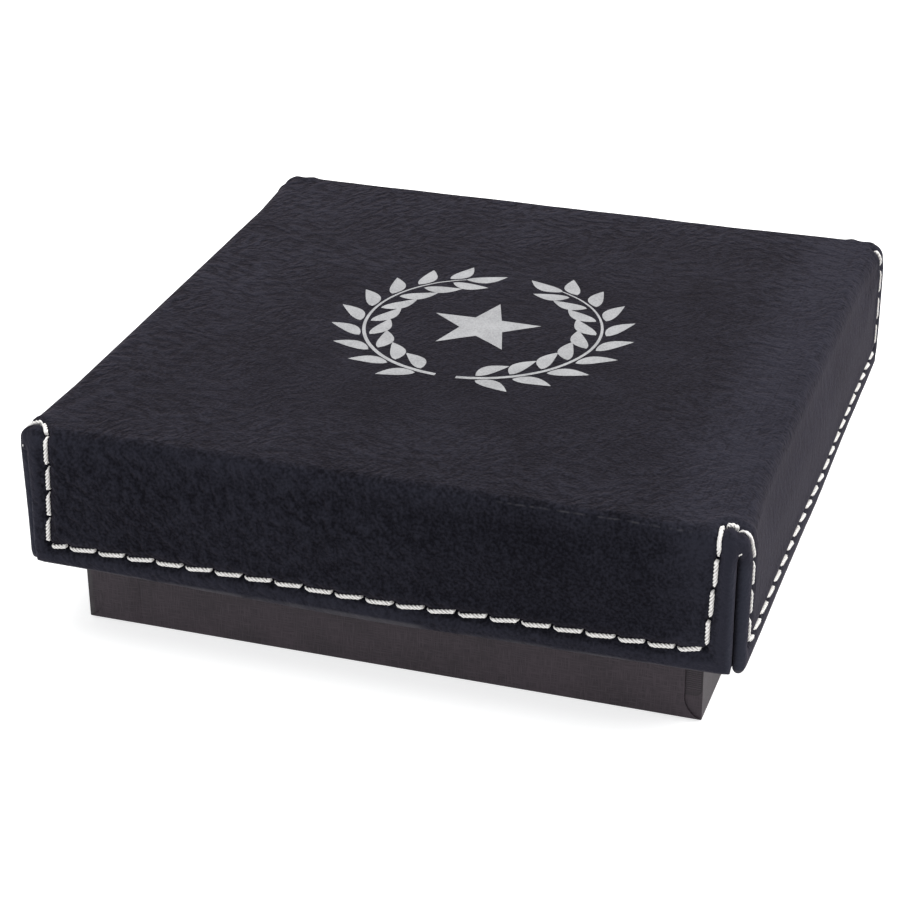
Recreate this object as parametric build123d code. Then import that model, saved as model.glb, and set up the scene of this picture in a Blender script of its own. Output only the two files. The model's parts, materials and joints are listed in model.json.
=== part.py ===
from build123d import *
import os

# A square presentation box for one medal. A paper-wrapped board tray holds a die-cut foam bed.
# A deeper board tray, wrapped in paper and dressed in hemmed and stitched leatherette, lifts off it.
# The origin is the centre of the underside, +Z is up and the front of the box faces -Y.

# Outer sizes of the closed box, in millimetres
LID_WIDTH = 101.6          # over the turned hems, four inches
BOX_HEIGHT = 32.0
LID_EDGE_HEIGHT = 11.0     # lower edge of the lid above the table
BASE_WIDTH = 89.2

# Thickness of the sheet materials
LEATHERETTE = 0.88
PAPER = 0.25
STAY_PAPER = 0.12
LINER_PAPER = 0.25
LID_BOARD = 2.8
BASE_BOARD = 2.0

# Folding of the boards and their paper
LID_FOLD_RADIUS = 1.05     # where the board bends, on its outer side
BASE_FOLD_RADIUS = 0.1
BUTT_SLIT = 0.2            # open joint between the ends of two walls
STAY_LEG = 9.0             # reach of a corner stay along each wall
STAY_END_GAP = 1.5         # a stay stops this far from the fold and from the rim
LID_TURN_IN = 14.0         # paper turned over the rim and down the inside
BASE_TURN_IN = 12.0
LINER_INSET = 1.0

# Laps of the base paper at its four upright edges, seen at the front
LAP_REACH = 8.0            # length of the tab that comes round the corner
LAP_SHORT = 2.4            # the flap over the tab stops this far from the corner
LAP_CURVE = 3.2            # height of the curve that runs from there to the bottom corner
LAP_RAMP = 1.5

# Leatherette cover of the lid
OVERHANG = 1.0             # the hem reaches this far below the board
CORNER_RADIUS = 2.0
TOP_EDGE_RADIUS = 1.9
SLIT_TOP = 3.8             # the corner slits begin this far below the top
EAR_REACH = 0.36           # a flap ends this far past the face of the tray
HEM_ROLL = 0.8             # radius of the turned edge, and its slope on the hidden side
HEM_CORNER = 1.5           # radius of a flap's lower corners, seen from the front
HEM_SHOULDER = 2.5         # a flap's upper corners, under the cap, are cut off by this much
HEM_WIDTH = 9.0
HEM_RAMP = 5.0             # the hem thins out over this width
HEM_FADE = 2.7             # the side hems thin out over this height below the top edge

# Decorative seam of the lid
SEAM_INSET = 4.35          # from the hem's outer corner to the upright rows
SEAM_RISE = 3.1            # from the lower edge to the bottom row
STITCH_LENGTH = 3.9
STITCH_WIDTH = 0.8
STITCH_PROUD = 0.4
STITCH_POINT = 0.35        # tapered length where a stitch comes up
STITCHES_ALONG = 21
STITCHES_UP = 3
UPRIGHT_STITCH = 3.6
UPRIGHT_PITCH = 4.2

# Foam bed
FOAM_PAD = 12.0
FOAM_SHEET = 6.0           # depth of the medal's recess
FOAM_SIDE_GAP = 0.1
FOAM_CORNER = 1.5
DIE_KERF = 0.3
RECESS_CENTRE_Y = -2.5
RIBBON_SLOT = (40.0, 3.0)
RIBBON_SLOT_Y = 37.2
INCH = 25.4
MEDAL_DIAMETERS = (1.5 * INCH, 2.0 * INCH, 2.25 * INCH, 2.5 * INCH, 2.75 * INCH)

# Faces and levels that follow from the sizes above, given as distances from the centre lines
hem_face = LID_WIDTH / 2
lid_wrap_face = hem_face - 2 * LEATHERETTE
lid_board_face = lid_wrap_face - PAPER
cover_face = lid_wrap_face + LEATHERETTE
lid_board_top = BOX_HEIGHT - LEATHERETTE - PAPER
lid_board_height = lid_board_top - LID_EDGE_HEIGHT - OVERHANG
lid_mouth_face = lid_board_face - LID_BOARD - PAPER
base_height = lid_board_top - LID_BOARD - LINER_PAPER
base_board_face = BASE_WIDTH / 2 - PAPER
base_board_height = base_height - 2 * PAPER
base_mouth_face = base_board_face - BASE_BOARD - PAPER
pad_bottom = PAPER + BASE_BOARD
sheet_bottom = pad_bottom + FOAM_PAD

ON_FLOOR = (Align.CENTER, Align.CENTER, Align.MIN)
CORNERS = {
    "front_left": (-1, -1),
    "front_right": (1, -1),
    "back_right": (1, 1),
    "back_left": (-1, 1),
}


def square_block(half_width, height):
    """A square block standing on z = 0, centred on the upright axis."""
    return Box(2 * half_width, 2 * half_width, height, align=ON_FLOOR)


def folded_block(half_width, height, fold_radius):
    """The block that a folded tray fills, rounded along the four folds at its foot."""
    block = square_block(half_width, height)
    return fillet(block.edges().group_by(Axis.Z)[0], fold_radius)


def folded_tray(half_width, height, wall, fold_radius):
    """A scored board folded up into an open tray, with butt joints at its corners."""
    tray = folded_block(half_width, height, fold_radius)
    tray -= Pos(0, 0, wall) * square_block(half_width - wall, height)
    slit = Box(wall, BUTT_SLIT, height, align=ON_FLOOR)
    for side_x, side_y in CORNERS.values():
        slit_x = side_x * (half_width - wall / 2)
        slit_y = side_y * (half_width - wall - BUTT_SLIT / 2)
        tray -= Pos(slit_x, slit_y, wall) * slit
    return tray


def corner_stay(half_width, height, corner):
    """A strip of stay paper folded round the outside of one corner joint."""
    side_x, side_y = CORNERS[corner]
    inside = half_width
    outside = half_width + STAY_PAPER
    end = half_width - STAY_LEG
    bend = [(outside, outside), (outside, end), (inside, end),
            (inside, inside), (end, inside), (end, outside)]
    outline = Polygon(*[(side_x * x, side_y * y) for x, y in bend], align=None)
    return Pos(0, 0, STAY_END_GAP) * extrude(outline, height - 2 * STAY_END_GAP, dir=(0, 0, 1))


def paper_wrap(half_width, height, wall, fold_radius, turn_in):
    """Covering paper folded up round a tray, over its rim and down the inside."""
    outside = folded_block(half_width + PAPER, height + 2 * PAPER, fold_radius + PAPER)
    wrap = Pos(0, 0, -PAPER) * outside - folded_block(half_width, height, fold_radius)
    inner_face = half_width - wall
    wrap -= square_block(inner_face - PAPER, height + 2 * PAPER)
    turned = square_block(inner_face, turn_in + PAPER) - square_block(inner_face - PAPER, turn_in + PAPER)
    wrap += Pos(0, 0, height - turn_in) * turned
    for corner in CORNERS:
        wrap -= corner_stay(half_width, height, corner)
    return wrap


def paper_lap(half_width, height):
    """The layer where a front flap of the base paper lies over the tab at its right corner."""
    cut_x = half_width - LAP_SHORT
    start_x = half_width - LAP_REACH
    foot = half_width - PAPER
    with BuildSketch(Plane.XZ) as outline:
        with BuildLine():
            Line((start_x, 0), (foot, 0))
            TangentArc((cut_x, LAP_CURVE), (foot, 0), tangent=(0, -1))
            Line((cut_x, LAP_CURVE), (cut_x, height))
            Line((cut_x, height), (start_x, height))
            Line((start_x, height), (start_x, 0))
        make_face()
    lap = Pos(0, -half_width, 0) * extrude(outline.sketch, PAPER)
    ramp_edge = lap.edges().filter_by(Axis.Z).group_by(Axis.X)[0].sort_by(Axis.Y)[0]
    return chamfer(ramp_edge, PAPER * 0.9, LAP_RAMP)


def base_wrap():
    """The linen paper of the base, with its four laps."""
    wrap = paper_wrap(base_board_face, base_board_height, BASE_BOARD, BASE_FOLD_RADIUS, BASE_TURN_IN)
    wrap = Pos(0, 0, PAPER) * wrap
    foot = BASE_FOLD_RADIUS + PAPER
    lap = paper_lap(BASE_WIDTH / 2, base_height - foot)
    front_right = Pos(0, 0, foot) * lap
    front_left = mirror(front_right, Plane.YZ)
    wrap += front_right
    wrap += front_left
    wrap += mirror(front_right, Plane.XZ)
    wrap += mirror(front_left, Plane.XZ)
    return wrap


def lid_place():
    """Turns a tray built mouth up into the lid's, mouth down, under the leatherette."""
    return Pos(0, 0, lid_board_top) * Rot(180, 0, 0)


def lid_liner():
    """A flat sheet of lining paper glued to the inside of the lid's top."""
    liner = square_block(lid_mouth_face - LINER_INSET, LINER_PAPER)
    return Pos(0, 0, base_height) * liner


def cover_cap():
    """The leatherette over the lid's top, drawn down over its edges as far as the slits."""
    cap = square_block(cover_face, SLIT_TOP)
    cap = fillet(cap.edges().filter_by(Axis.Z), CORNER_RADIUS)
    cap = fillet(cap.edges().group_by(Axis.Z)[-1], TOP_EDGE_RADIUS)
    cap = Pos(0, 0, BOX_HEIGHT - SLIT_TOP) * cap
    tray = folded_block(lid_wrap_face, lid_board_height + PAPER, LID_FOLD_RADIUS + PAPER)
    return cap - Pos(0, 0, BOX_HEIGHT - LEATHERETTE) * Rot(180, 0, 0) * tray


def front_flap():
    """The front flap of the cover, thick where its hems are turned and thin between them."""
    half_length = lid_wrap_face + EAR_REACH
    top = BOX_HEIGHT - TOP_EDGE_RADIUS
    drop = top - LID_EDGE_HEIGHT
    outline = Rectangle(2 * half_length, drop)
    outline = chamfer(outline.vertices().group_by(Axis.Y)[-1], HEM_SHOULDER)
    outline = fillet(outline.vertices().group_by(Axis.Y)[0], HEM_CORNER)
    flap = Pos(0, -lid_wrap_face, top - drop / 2) * extrude(Plane.XZ * outline, 2 * LEATHERETTE)
    flap = chamfer(flap.faces().sort_by(Axis.Y)[-1].edges(), HEM_ROLL)
    flap = fillet(flap.faces().sort_by(Axis.Y)[0].edges(), HEM_ROLL)
    flap -= thin_field(half_length, top)
    return flap - fade_wedge(half_length, top)


def thin_field(half_length, top):
    """What is missing from the flap between its hems, a shallow hollow with sloping sides."""
    hem_top = LID_EDGE_HEIGHT + HEM_WIDTH
    open_top = 2 * top - hem_top
    outer_half = half_length - HEM_WIDTH
    inner_half = outer_half - HEM_RAMP
    mouth = Plane.XZ.offset(hem_face) * Pos(0, top) * Rectangle(2 * outer_half, open_top - hem_top)
    depth = Plane.XZ.offset(cover_face) * Pos(0, top) * Rectangle(
        2 * inner_half, open_top - hem_top - 2 * HEM_RAMP)
    return loft([depth.face(), mouth.face()])


def fade_wedge(half_length, top):
    """A wedge along the top of the flap, where the side hems thin out to a single layer."""
    section = Polygon((-hem_face, top - HEM_FADE), (-cover_face, top), (-cover_face, top + HEM_FADE),
                      (-hem_face - HEM_FADE, top + HEM_FADE), (-hem_face - HEM_FADE, top - HEM_FADE),
                      align=None)
    return extrude(Plane.YZ * section, half_length + HEM_ROLL, both=True)


def lid_cover():
    """One cross-shaped piece of leatherette: the cap and a flap down each side."""
    cover = cover_cap()
    flap = front_flap()
    for quarter in range(4):
        cover += Rot(0, 0, 90 * quarter) * flap
    return cover


def stitch(length):
    """One visible stitch lying along X on the plane z = 0, pointed where the thread comes up."""
    half = length / 2
    side = STITCH_WIDTH / 2
    shoulder = half - STITCH_POINT
    outline = Polygon((-half, 0), (-shoulder, -side), (half, -side), (half, side), (-shoulder, side),
                      align=None)
    return extrude(outline, STITCH_PROUD, taper=20)


def edge_stitch():
    """A stitch bent over the front top edge, centred on x = 0."""
    inner = TOP_EDGE_RADIUS
    outer = TOP_EDGE_RADIUS + STITCH_PROUD
    ring = Cylinder(outer, STITCH_WIDTH, rotation=(0, 90, 0))
    ring -= Cylinder(inner, STITCH_WIDTH, rotation=(0, 90, 0))
    quarter = Pos(0, -outer, 0) * Box(STITCH_WIDTH, 2 * outer, 2 * outer, align=ON_FLOOR)
    bend = ring & quarter
    return Pos(0, TOP_EDGE_RADIUS - cover_face, BOX_HEIGHT - TOP_EDGE_RADIUS) * bend


def front_seam():
    """The stitches of the front flap: a bottom row, two upright rows and two over the top edge."""
    row_z = LID_EDGE_HEIGHT + SEAM_RISE
    row_x = hem_face - SEAM_INSET
    pitch = 2 * row_x / STITCHES_ALONG
    on_hem = Pos(0, -hem_face, 0) * Rot(90, 0, 0)
    flat = on_hem * stitch(STITCH_LENGTH)
    upright = on_hem * Rot(0, 0, 90) * stitch(UPRIGHT_STITCH)
    stitches = []
    for number in range(STITCHES_ALONG):
        offset = (number - (STITCHES_ALONG - 1) / 2) * pitch
        stitches.append(Pos(offset, 0, row_z) * flat)
    for side in (-1, 1):
        for number in range(STITCHES_UP):
            height = row_z + 0.7 * UPRIGHT_PITCH + number * UPRIGHT_PITCH
            stitches.append(Pos(side * row_x, 0, height) * upright)
        stitches.append(Pos(side * row_x, 0, 0) * edge_stitch())
    return stitches


def lid_stitching():
    """The thread of the decorative seam, as the stitches that show on the cover."""
    stitches = []
    for quarter in range(4):
        stitches += [Rot(0, 0, 90 * quarter) * one for one in front_seam()]
    return Compound(children=stitches)


def foam_block(height):
    """A square block of foam that fills the base from wall to wall."""
    block = square_block(base_mouth_face - FOAM_SIDE_GAP, height)
    block = fillet(block.edges().filter_by(Axis.Z), FOAM_CORNER)
    slot = Box(RIBBON_SLOT[0], RIBBON_SLOT[1], height, align=ON_FLOOR)
    slot = fillet(slot.edges().filter_by(Axis.Z), 0.45 * RIBBON_SLOT[1])
    return block - Pos(0, RIBBON_SLOT_Y, 0) * slot


def foam_disc(inner_diameter, outer_diameter):
    """A press-out piece of the foam sheet: a ring, or a plug where the inner diameter is 0."""
    disc = Cylinder((outer_diameter - DIE_KERF) / 2, FOAM_SHEET, align=ON_FLOOR)
    if inner_diameter > 0:
        disc -= Cylinder((inner_diameter + DIE_KERF) / 2, FOAM_SHEET, align=ON_FLOOR)
    return Pos(0, RECESS_CENTRE_Y, sheet_bottom) * disc


def foam_insert():
    """The die-cut sheet that the press-out pieces come from."""
    sheet = foam_block(FOAM_SHEET)
    hole = Cylinder((MEDAL_DIAMETERS[-1] + DIE_KERF) / 2, FOAM_SHEET, align=ON_FLOOR)
    sheet -= Pos(0, RECESS_CENTRE_Y, 0) * hole
    return Pos(0, 0, sheet_bottom) * sheet


def foam_pieces():
    """The press-out pieces by name, each named for the medal that its removal makes room for."""
    pieces = {}
    inner = 0
    for diameter in MEDAL_DIAMETERS:
        kind = "ring" if inner else "plug"
        pieces[f"foam_{kind}_{diameter:.0f}mm"] = foam_disc(inner, diameter)
        inner = diameter
    return pieces


def build_parts():
    """Every piece of the box by name."""
    lid = lid_place()
    parts = {
        "lid_cover": lid_cover(),
        "lid_stitching": lid_stitching(),
        "lid_board": lid * folded_tray(lid_board_face, lid_board_height, LID_BOARD, LID_FOLD_RADIUS),
        "lid_wrap": lid * paper_wrap(lid_board_face, lid_board_height, LID_BOARD,
                                     LID_FOLD_RADIUS, LID_TURN_IN),
        "lid_liner": lid_liner(),
        "base_board": Pos(0, 0, PAPER) * folded_tray(base_board_face, base_board_height,
                                                     BASE_BOARD, BASE_FOLD_RADIUS),
        "base_wrap": base_wrap(),
        "foam_pad": Pos(0, 0, pad_bottom) * foam_block(FOAM_PAD),
        "foam_insert": foam_insert(),
    }
    for corner in CORNERS:
        parts[f"lid_corner_stay_{corner}"] = lid * corner_stay(lid_board_face, lid_board_height, corner)
        stay = corner_stay(base_board_face, base_board_height, corner)
        parts[f"base_corner_stay_{corner}"] = Pos(0, 0, PAPER) * stay
    parts.update(foam_pieces())
    return parts


os.makedirs("parts", exist_ok=True)
for name, shape in build_parts().items():
    export_step(shape, f"parts/{name}.step")
    print(name, round(shape.volume, 1))
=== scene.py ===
import json
import logging
import math
from dataclasses import dataclass, field, replace
from enum import Enum
from typing import Any

import bmesh
import bpy
import numpy as np
from mathutils import Matrix, Vector, noise
from mathutils.bvhtree import BVHTree
from mathutils.kdtree import KDTree

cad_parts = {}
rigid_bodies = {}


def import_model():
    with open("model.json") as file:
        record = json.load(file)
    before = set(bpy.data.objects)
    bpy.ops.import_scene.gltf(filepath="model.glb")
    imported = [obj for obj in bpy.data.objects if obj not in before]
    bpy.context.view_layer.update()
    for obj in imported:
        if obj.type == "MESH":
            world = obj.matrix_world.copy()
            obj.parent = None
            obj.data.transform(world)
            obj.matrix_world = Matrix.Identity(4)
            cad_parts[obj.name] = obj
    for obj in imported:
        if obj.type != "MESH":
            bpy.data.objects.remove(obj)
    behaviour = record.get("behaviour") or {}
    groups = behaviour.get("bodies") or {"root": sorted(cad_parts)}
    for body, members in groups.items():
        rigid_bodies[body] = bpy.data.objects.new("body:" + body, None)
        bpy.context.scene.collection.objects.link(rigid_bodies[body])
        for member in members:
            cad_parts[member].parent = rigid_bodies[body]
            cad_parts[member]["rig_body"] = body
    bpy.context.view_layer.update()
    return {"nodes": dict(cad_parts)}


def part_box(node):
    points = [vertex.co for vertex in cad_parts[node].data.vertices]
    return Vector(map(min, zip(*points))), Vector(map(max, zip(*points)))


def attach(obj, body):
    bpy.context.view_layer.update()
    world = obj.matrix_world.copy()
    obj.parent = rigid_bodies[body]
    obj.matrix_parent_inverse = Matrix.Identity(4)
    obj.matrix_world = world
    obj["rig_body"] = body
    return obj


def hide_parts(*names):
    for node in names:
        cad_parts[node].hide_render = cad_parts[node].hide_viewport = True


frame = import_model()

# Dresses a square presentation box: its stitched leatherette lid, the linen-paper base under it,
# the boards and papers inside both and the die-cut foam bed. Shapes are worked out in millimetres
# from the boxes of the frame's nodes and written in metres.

logging.basicConfig(level=logging.INFO, format="%(message)s")
LOG = logging.getLogger("medal_box")

MM = 0.001
SMOOTH_ANGLE = 50.0
NO_SHARP_EDGES = 180.0
WHITE = (1.0, 1.0, 1.0)
Triple = tuple[float, float, float]
Pair = tuple[float, float]
Colour = Triple


class Body(Enum):
    """The moving bodies that a piece may ride on."""

    BASE = "base"
    LID = "lid"
    PLUG_38 = "plug_38"
    RING_51 = "ring_51"
    RING_57 = "ring_57"
    RING_64 = "ring_64"
    RING_70 = "ring_70"


class Slot(Enum):
    """The names of the record's finishes, which no piece in this script is given."""

    LEATHERETTE = "leatherette"
    THREAD = "thread"
    FOAM = "foam"


def smooth(value: np.ndarray | float, low: float, high: float) -> np.ndarray:
    """A soft step.

    Args:
        value: the quantity that the step looks at.
        low: where the step is still 0.
        high: where it has reached 1.

    Returns:
        The step's height for each value.
    """
    share = np.clip((np.asarray(value, float) - low) / (high - low), 0.0, 1.0)
    return share * share * (3.0 - 2.0 * share)


def mix(start: np.ndarray, end: np.ndarray, share: np.ndarray) -> np.ndarray:
    """A blend of two arrays by a share from 0 to 1."""
    return start + (end - start) * share


def spaced(low: float, high: float, step: float) -> np.ndarray:
    """Even positions from low to high, about step apart."""
    return np.linspace(low, high, max(2, int(math.ceil(abs(high - low) / step)) + 1))


def chained(*runs: np.ndarray) -> np.ndarray:
    """Runs of positions joined end to end, without their doubled ends."""
    return np.concatenate([runs[0]] + [run[1:] for run in runs[1:]])


def roughened(points: np.ndarray, wavelength: float, seed: float) -> np.ndarray:
    """Smooth noise at each point.

    Args:
        points: positions in millimetres.
        wavelength: the size of a bump, in millimetres.
        seed: a shift that makes one noise differ from another.

    Returns:
        A height from about -1 to 1 for each point.
    """
    scaled = points / wavelength + seed
    return np.array([noise.noise(Vector(point)) for point in scaled])


class MeshDraft:
    """Points in millimetres and faces, gathered block by block and welded at the end."""

    def __init__(self) -> None:
        """Starts with nothing in it."""
        self.blocks: list[np.ndarray] = []
        self.faces: list[tuple[int, ...]] = []
        self.count = 0

    def add_points(self, points: np.ndarray) -> np.ndarray:
        """Adds points.

        Args:
            points: positions in millimetres, in an array whose last axis is three long.

        Returns:
            The points' numbers.
        """
        self.blocks.append(np.asarray(points, float).reshape(-1, 3))
        numbers = self.count + np.arange(len(self.blocks[-1]))
        self.count += len(numbers)
        return numbers

    def add_grid(self, grid: np.ndarray) -> None:
        """Adds a sheet of four-sided faces.

        Args:
            grid: points as rows by columns by three.
        """
        rows, columns = grid.shape[:2]
        number = self.add_points(grid).reshape(rows, columns)
        corners = [number[:-1, :-1], number[:-1, 1:], number[1:, 1:], number[1:, :-1]]
        self.faces.extend(map(tuple, np.stack(corners, -1).reshape(-1, 4).tolist()))

    def add_tube(self, rings: np.ndarray) -> None:
        """Adds a tube with closed ends.

        Args:
            rings: points as rings by places round the ring by three.
        """
        self.add_grid(np.concatenate([rings, rings[:, :1]], axis=1))
        self.add_polygon(rings[0])
        self.add_polygon(rings[-1])

    def add_polygon(self, points: np.ndarray) -> None:
        """Adds one face with a corner at each point."""
        self.faces.append(tuple(self.add_points(points).tolist()))

    def points(self) -> np.ndarray:
        """All points so far, in millimetres."""
        return np.concatenate(self.blocks)

    def welded(self, name: str, gap: float = 0.001) -> bpy.types.Mesh:
        """Makes the mesh, with doubled points merged and faces turned outwards.

        Args:
            name: the mesh's name.
            gap: points nearer than this are merged, in millimetres.

        Returns:
            The mesh, in metres.
        """
        mesh = bpy.data.meshes.new(name)
        mesh.from_pydata((self.points() * MM).tolist(), [], self.faces)
        work = bmesh.new()
        work.from_mesh(mesh)
        bmesh.ops.remove_doubles(work, verts=work.verts, dist=gap * MM)
        bmesh.ops.dissolve_degenerate(work, edges=work.edges, dist=gap * MM)
        bmesh.ops.recalc_face_normals(work, faces=work.faces)
        work.to_mesh(mesh)
        work.free()
        mesh.update()
        return mesh


def places_of(mesh: bpy.types.Mesh) -> np.ndarray:
    """The positions of a mesh's points.

    Args:
        mesh: the mesh, in metres.

    Returns:
        One row for each point, in millimetres.
    """
    flat = np.empty(len(mesh.vertices) * 3)
    mesh.vertices.foreach_get("co", flat)
    return flat.reshape(-1, 3) / MM


def normals_of(mesh: bpy.types.Mesh) -> np.ndarray:
    """The outward directions at a mesh's points.

    Args:
        mesh: the mesh.

    Returns:
        One row for each point.
    """
    flat = np.empty(len(mesh.vertices) * 3)
    mesh.vertex_normals.foreach_get("vector", flat)
    return flat.reshape(-1, 3)


def move_points(mesh: bpy.types.Mesh, places: np.ndarray) -> None:
    """Gives a mesh new positions, in millimetres."""
    mesh.vertices.foreach_set("co", (places * MM).ravel())
    mesh.update()


def box_of(node_name: str) -> tuple[np.ndarray, np.ndarray]:
    """The lowest and the highest corner of a node's box, in millimetres."""
    low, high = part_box(node_name)
    return np.array(low) / MM, np.array(high) / MM


def surface_of(places: np.ndarray, faces: list[tuple[int, ...]]) -> BVHTree:
    """A search tree over faces, in millimetres."""
    return BVHTree.FromPolygons(places.tolist(), faces)


def averaged(directions: np.ndarray, window: int) -> np.ndarray:
    """Directions along a line, evened out.

    Args:
        directions: one row for each place of the line.
        window: how many neighbours on either side each is averaged with.

    Returns:
        The averages, each made one long.
    """
    padded = np.pad(directions, ((window, window), (0, 0)), mode="edge")
    total = sum(padded[shift: shift + len(directions)] for shift in range(2 * window + 1))
    return total / np.linalg.norm(total, axis=1, keepdims=True)


def make_piece(
    name: str,
    mesh: bpy.types.Mesh,
    finish: bpy.types.Material,
    body: Body,
    smooth_angle: float = SMOOTH_ANGLE,
) -> bpy.types.Object:
    """Puts a mesh into the scene as a piece of the box.

    Args:
        name: the piece's name.
        mesh: its shape in the row frame.
        finish: its material.
        body: what it moves with.
        smooth_angle: edges sharper than this stay crisp, in degrees.

    Returns:
        The new object.
    """
    piece = bpy.data.objects.new(name, mesh)
    bpy.context.scene.collection.objects.link(piece)
    mesh.materials.append(finish)
    mesh.shade_smooth()
    mesh.set_sharp_from_angle(angle=math.radians(smooth_angle))
    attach(piece, body.value)
    LOG.info("%s: %d points, rides on %s", name, len(mesh.vertices), body.value)
    return piece


class Shade:
    """A socket of a material's nodes that can stand in a Python expression."""

    def __init__(self, tree: bpy.types.NodeTree, socket: bpy.types.NodeSocket) -> None:
        """Wraps one output socket."""
        self.tree = tree
        self.socket = socket

    def _math(self, operation: str, *values: "Shade | float") -> "Shade":
        """Adds a Math node for one operation."""
        inputs = dict(enumerate(values))
        return node(self.tree, "ShaderNodeMath", {"operation": operation}, inputs)

    def __add__(self, other: "Shade | float") -> "Shade":
        """Adds a value."""
        return self._math("ADD", self, other)

    __radd__ = __add__

    def __sub__(self, other: "Shade | float") -> "Shade":
        """Takes a value away."""
        return self._math("SUBTRACT", self, other)

    def __rsub__(self, other: float) -> "Shade":
        """Takes this away from a value."""
        return self._math("SUBTRACT", other, self)

    def __mul__(self, other: "Shade | float") -> "Shade":
        """Multiplies by a value."""
        return self._math("MULTIPLY", self, other)

    __rmul__ = __mul__

    def __truediv__(self, other: "Shade | float") -> "Shade":
        """Divides by a value."""
        return self._math("DIVIDE", self, other)

    def __pow__(self, power: float) -> "Shade":
        """Raises to a power."""
        return self._math("POWER", self, power)

    def __abs__(self) -> "Shade":
        """Drops the sign."""
        return self._math("ABSOLUTE", self)

    def root(self) -> "Shade":
        """The square root."""
        return self._math("SQRT", self)

    def sine(self) -> "Shade":
        """The sine of this angle, in radians."""
        return self._math("SINE", self)

    def most(self, other: "Shade | float") -> "Shade":
        """The larger of this and another value."""
        return self._math("MAXIMUM", self, other)

    def least(self, other: "Shade | float") -> "Shade":
        """The smaller of this and another value."""
        return self._math("MINIMUM", self, other)

    def step(self, low: float, high: float) -> "Shade":
        """A soft step of this value.

        Args:
            low: where the step is still 0.
            high: where it has reached 1.

        Returns:
            The step's height.
        """
        settings = {"interpolation_type": "SMOOTHSTEP"}
        inputs = {"Value": self, "From Min": low, "From Max": high}
        return node(self.tree, "ShaderNodeMapRange", settings, inputs, "Result")

    def past(self, start: float, width: float) -> "Shade":
        """A soft step of this length, in metres, that starts and spans so many millimetres."""
        return self.step(start * MM, (start + width) * MM)


def node(
    tree: bpy.types.NodeTree,
    kind: str,
    settings: dict[str, Any] | None = None,
    inputs: dict[str | int, Any] | None = None,
    output: str | int = 0,
) -> Shade | None:
    """Adds one node to a material.

    Args:
        tree: the material's nodes.
        kind: Blender's name of the node's type.
        settings: its properties, set before its sockets. "stops" fills a ramp.
        inputs: a value or a Shade for each named or numbered socket.
        output: which of its outputs to return.

    Returns:
        The chosen output, or nothing for a node that has none.
    """
    made = tree.nodes.new(kind)
    for key, value in (settings or {}).items():
        if key == "stops":
            ramp = made.color_ramp.elements
            while len(ramp) < len(value):
                ramp.new(0.5)
            for stop, (position, colour) in zip(ramp, value):
                stop.position = position
                stop.color = (*colour, 1.0)
        else:
            setattr(made, key, value)
    for key, value in (inputs or {}).items():
        socket = made.inputs[key]
        if isinstance(value, Shade):
            tree.links.new(value.socket, socket)
        elif socket.type == "RGBA" and len(value) == 3:
            socket.default_value = (*value, 1.0)
        else:
            socket.default_value = value
    return Shade(tree, made.outputs[output]) if made.outputs else None


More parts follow.
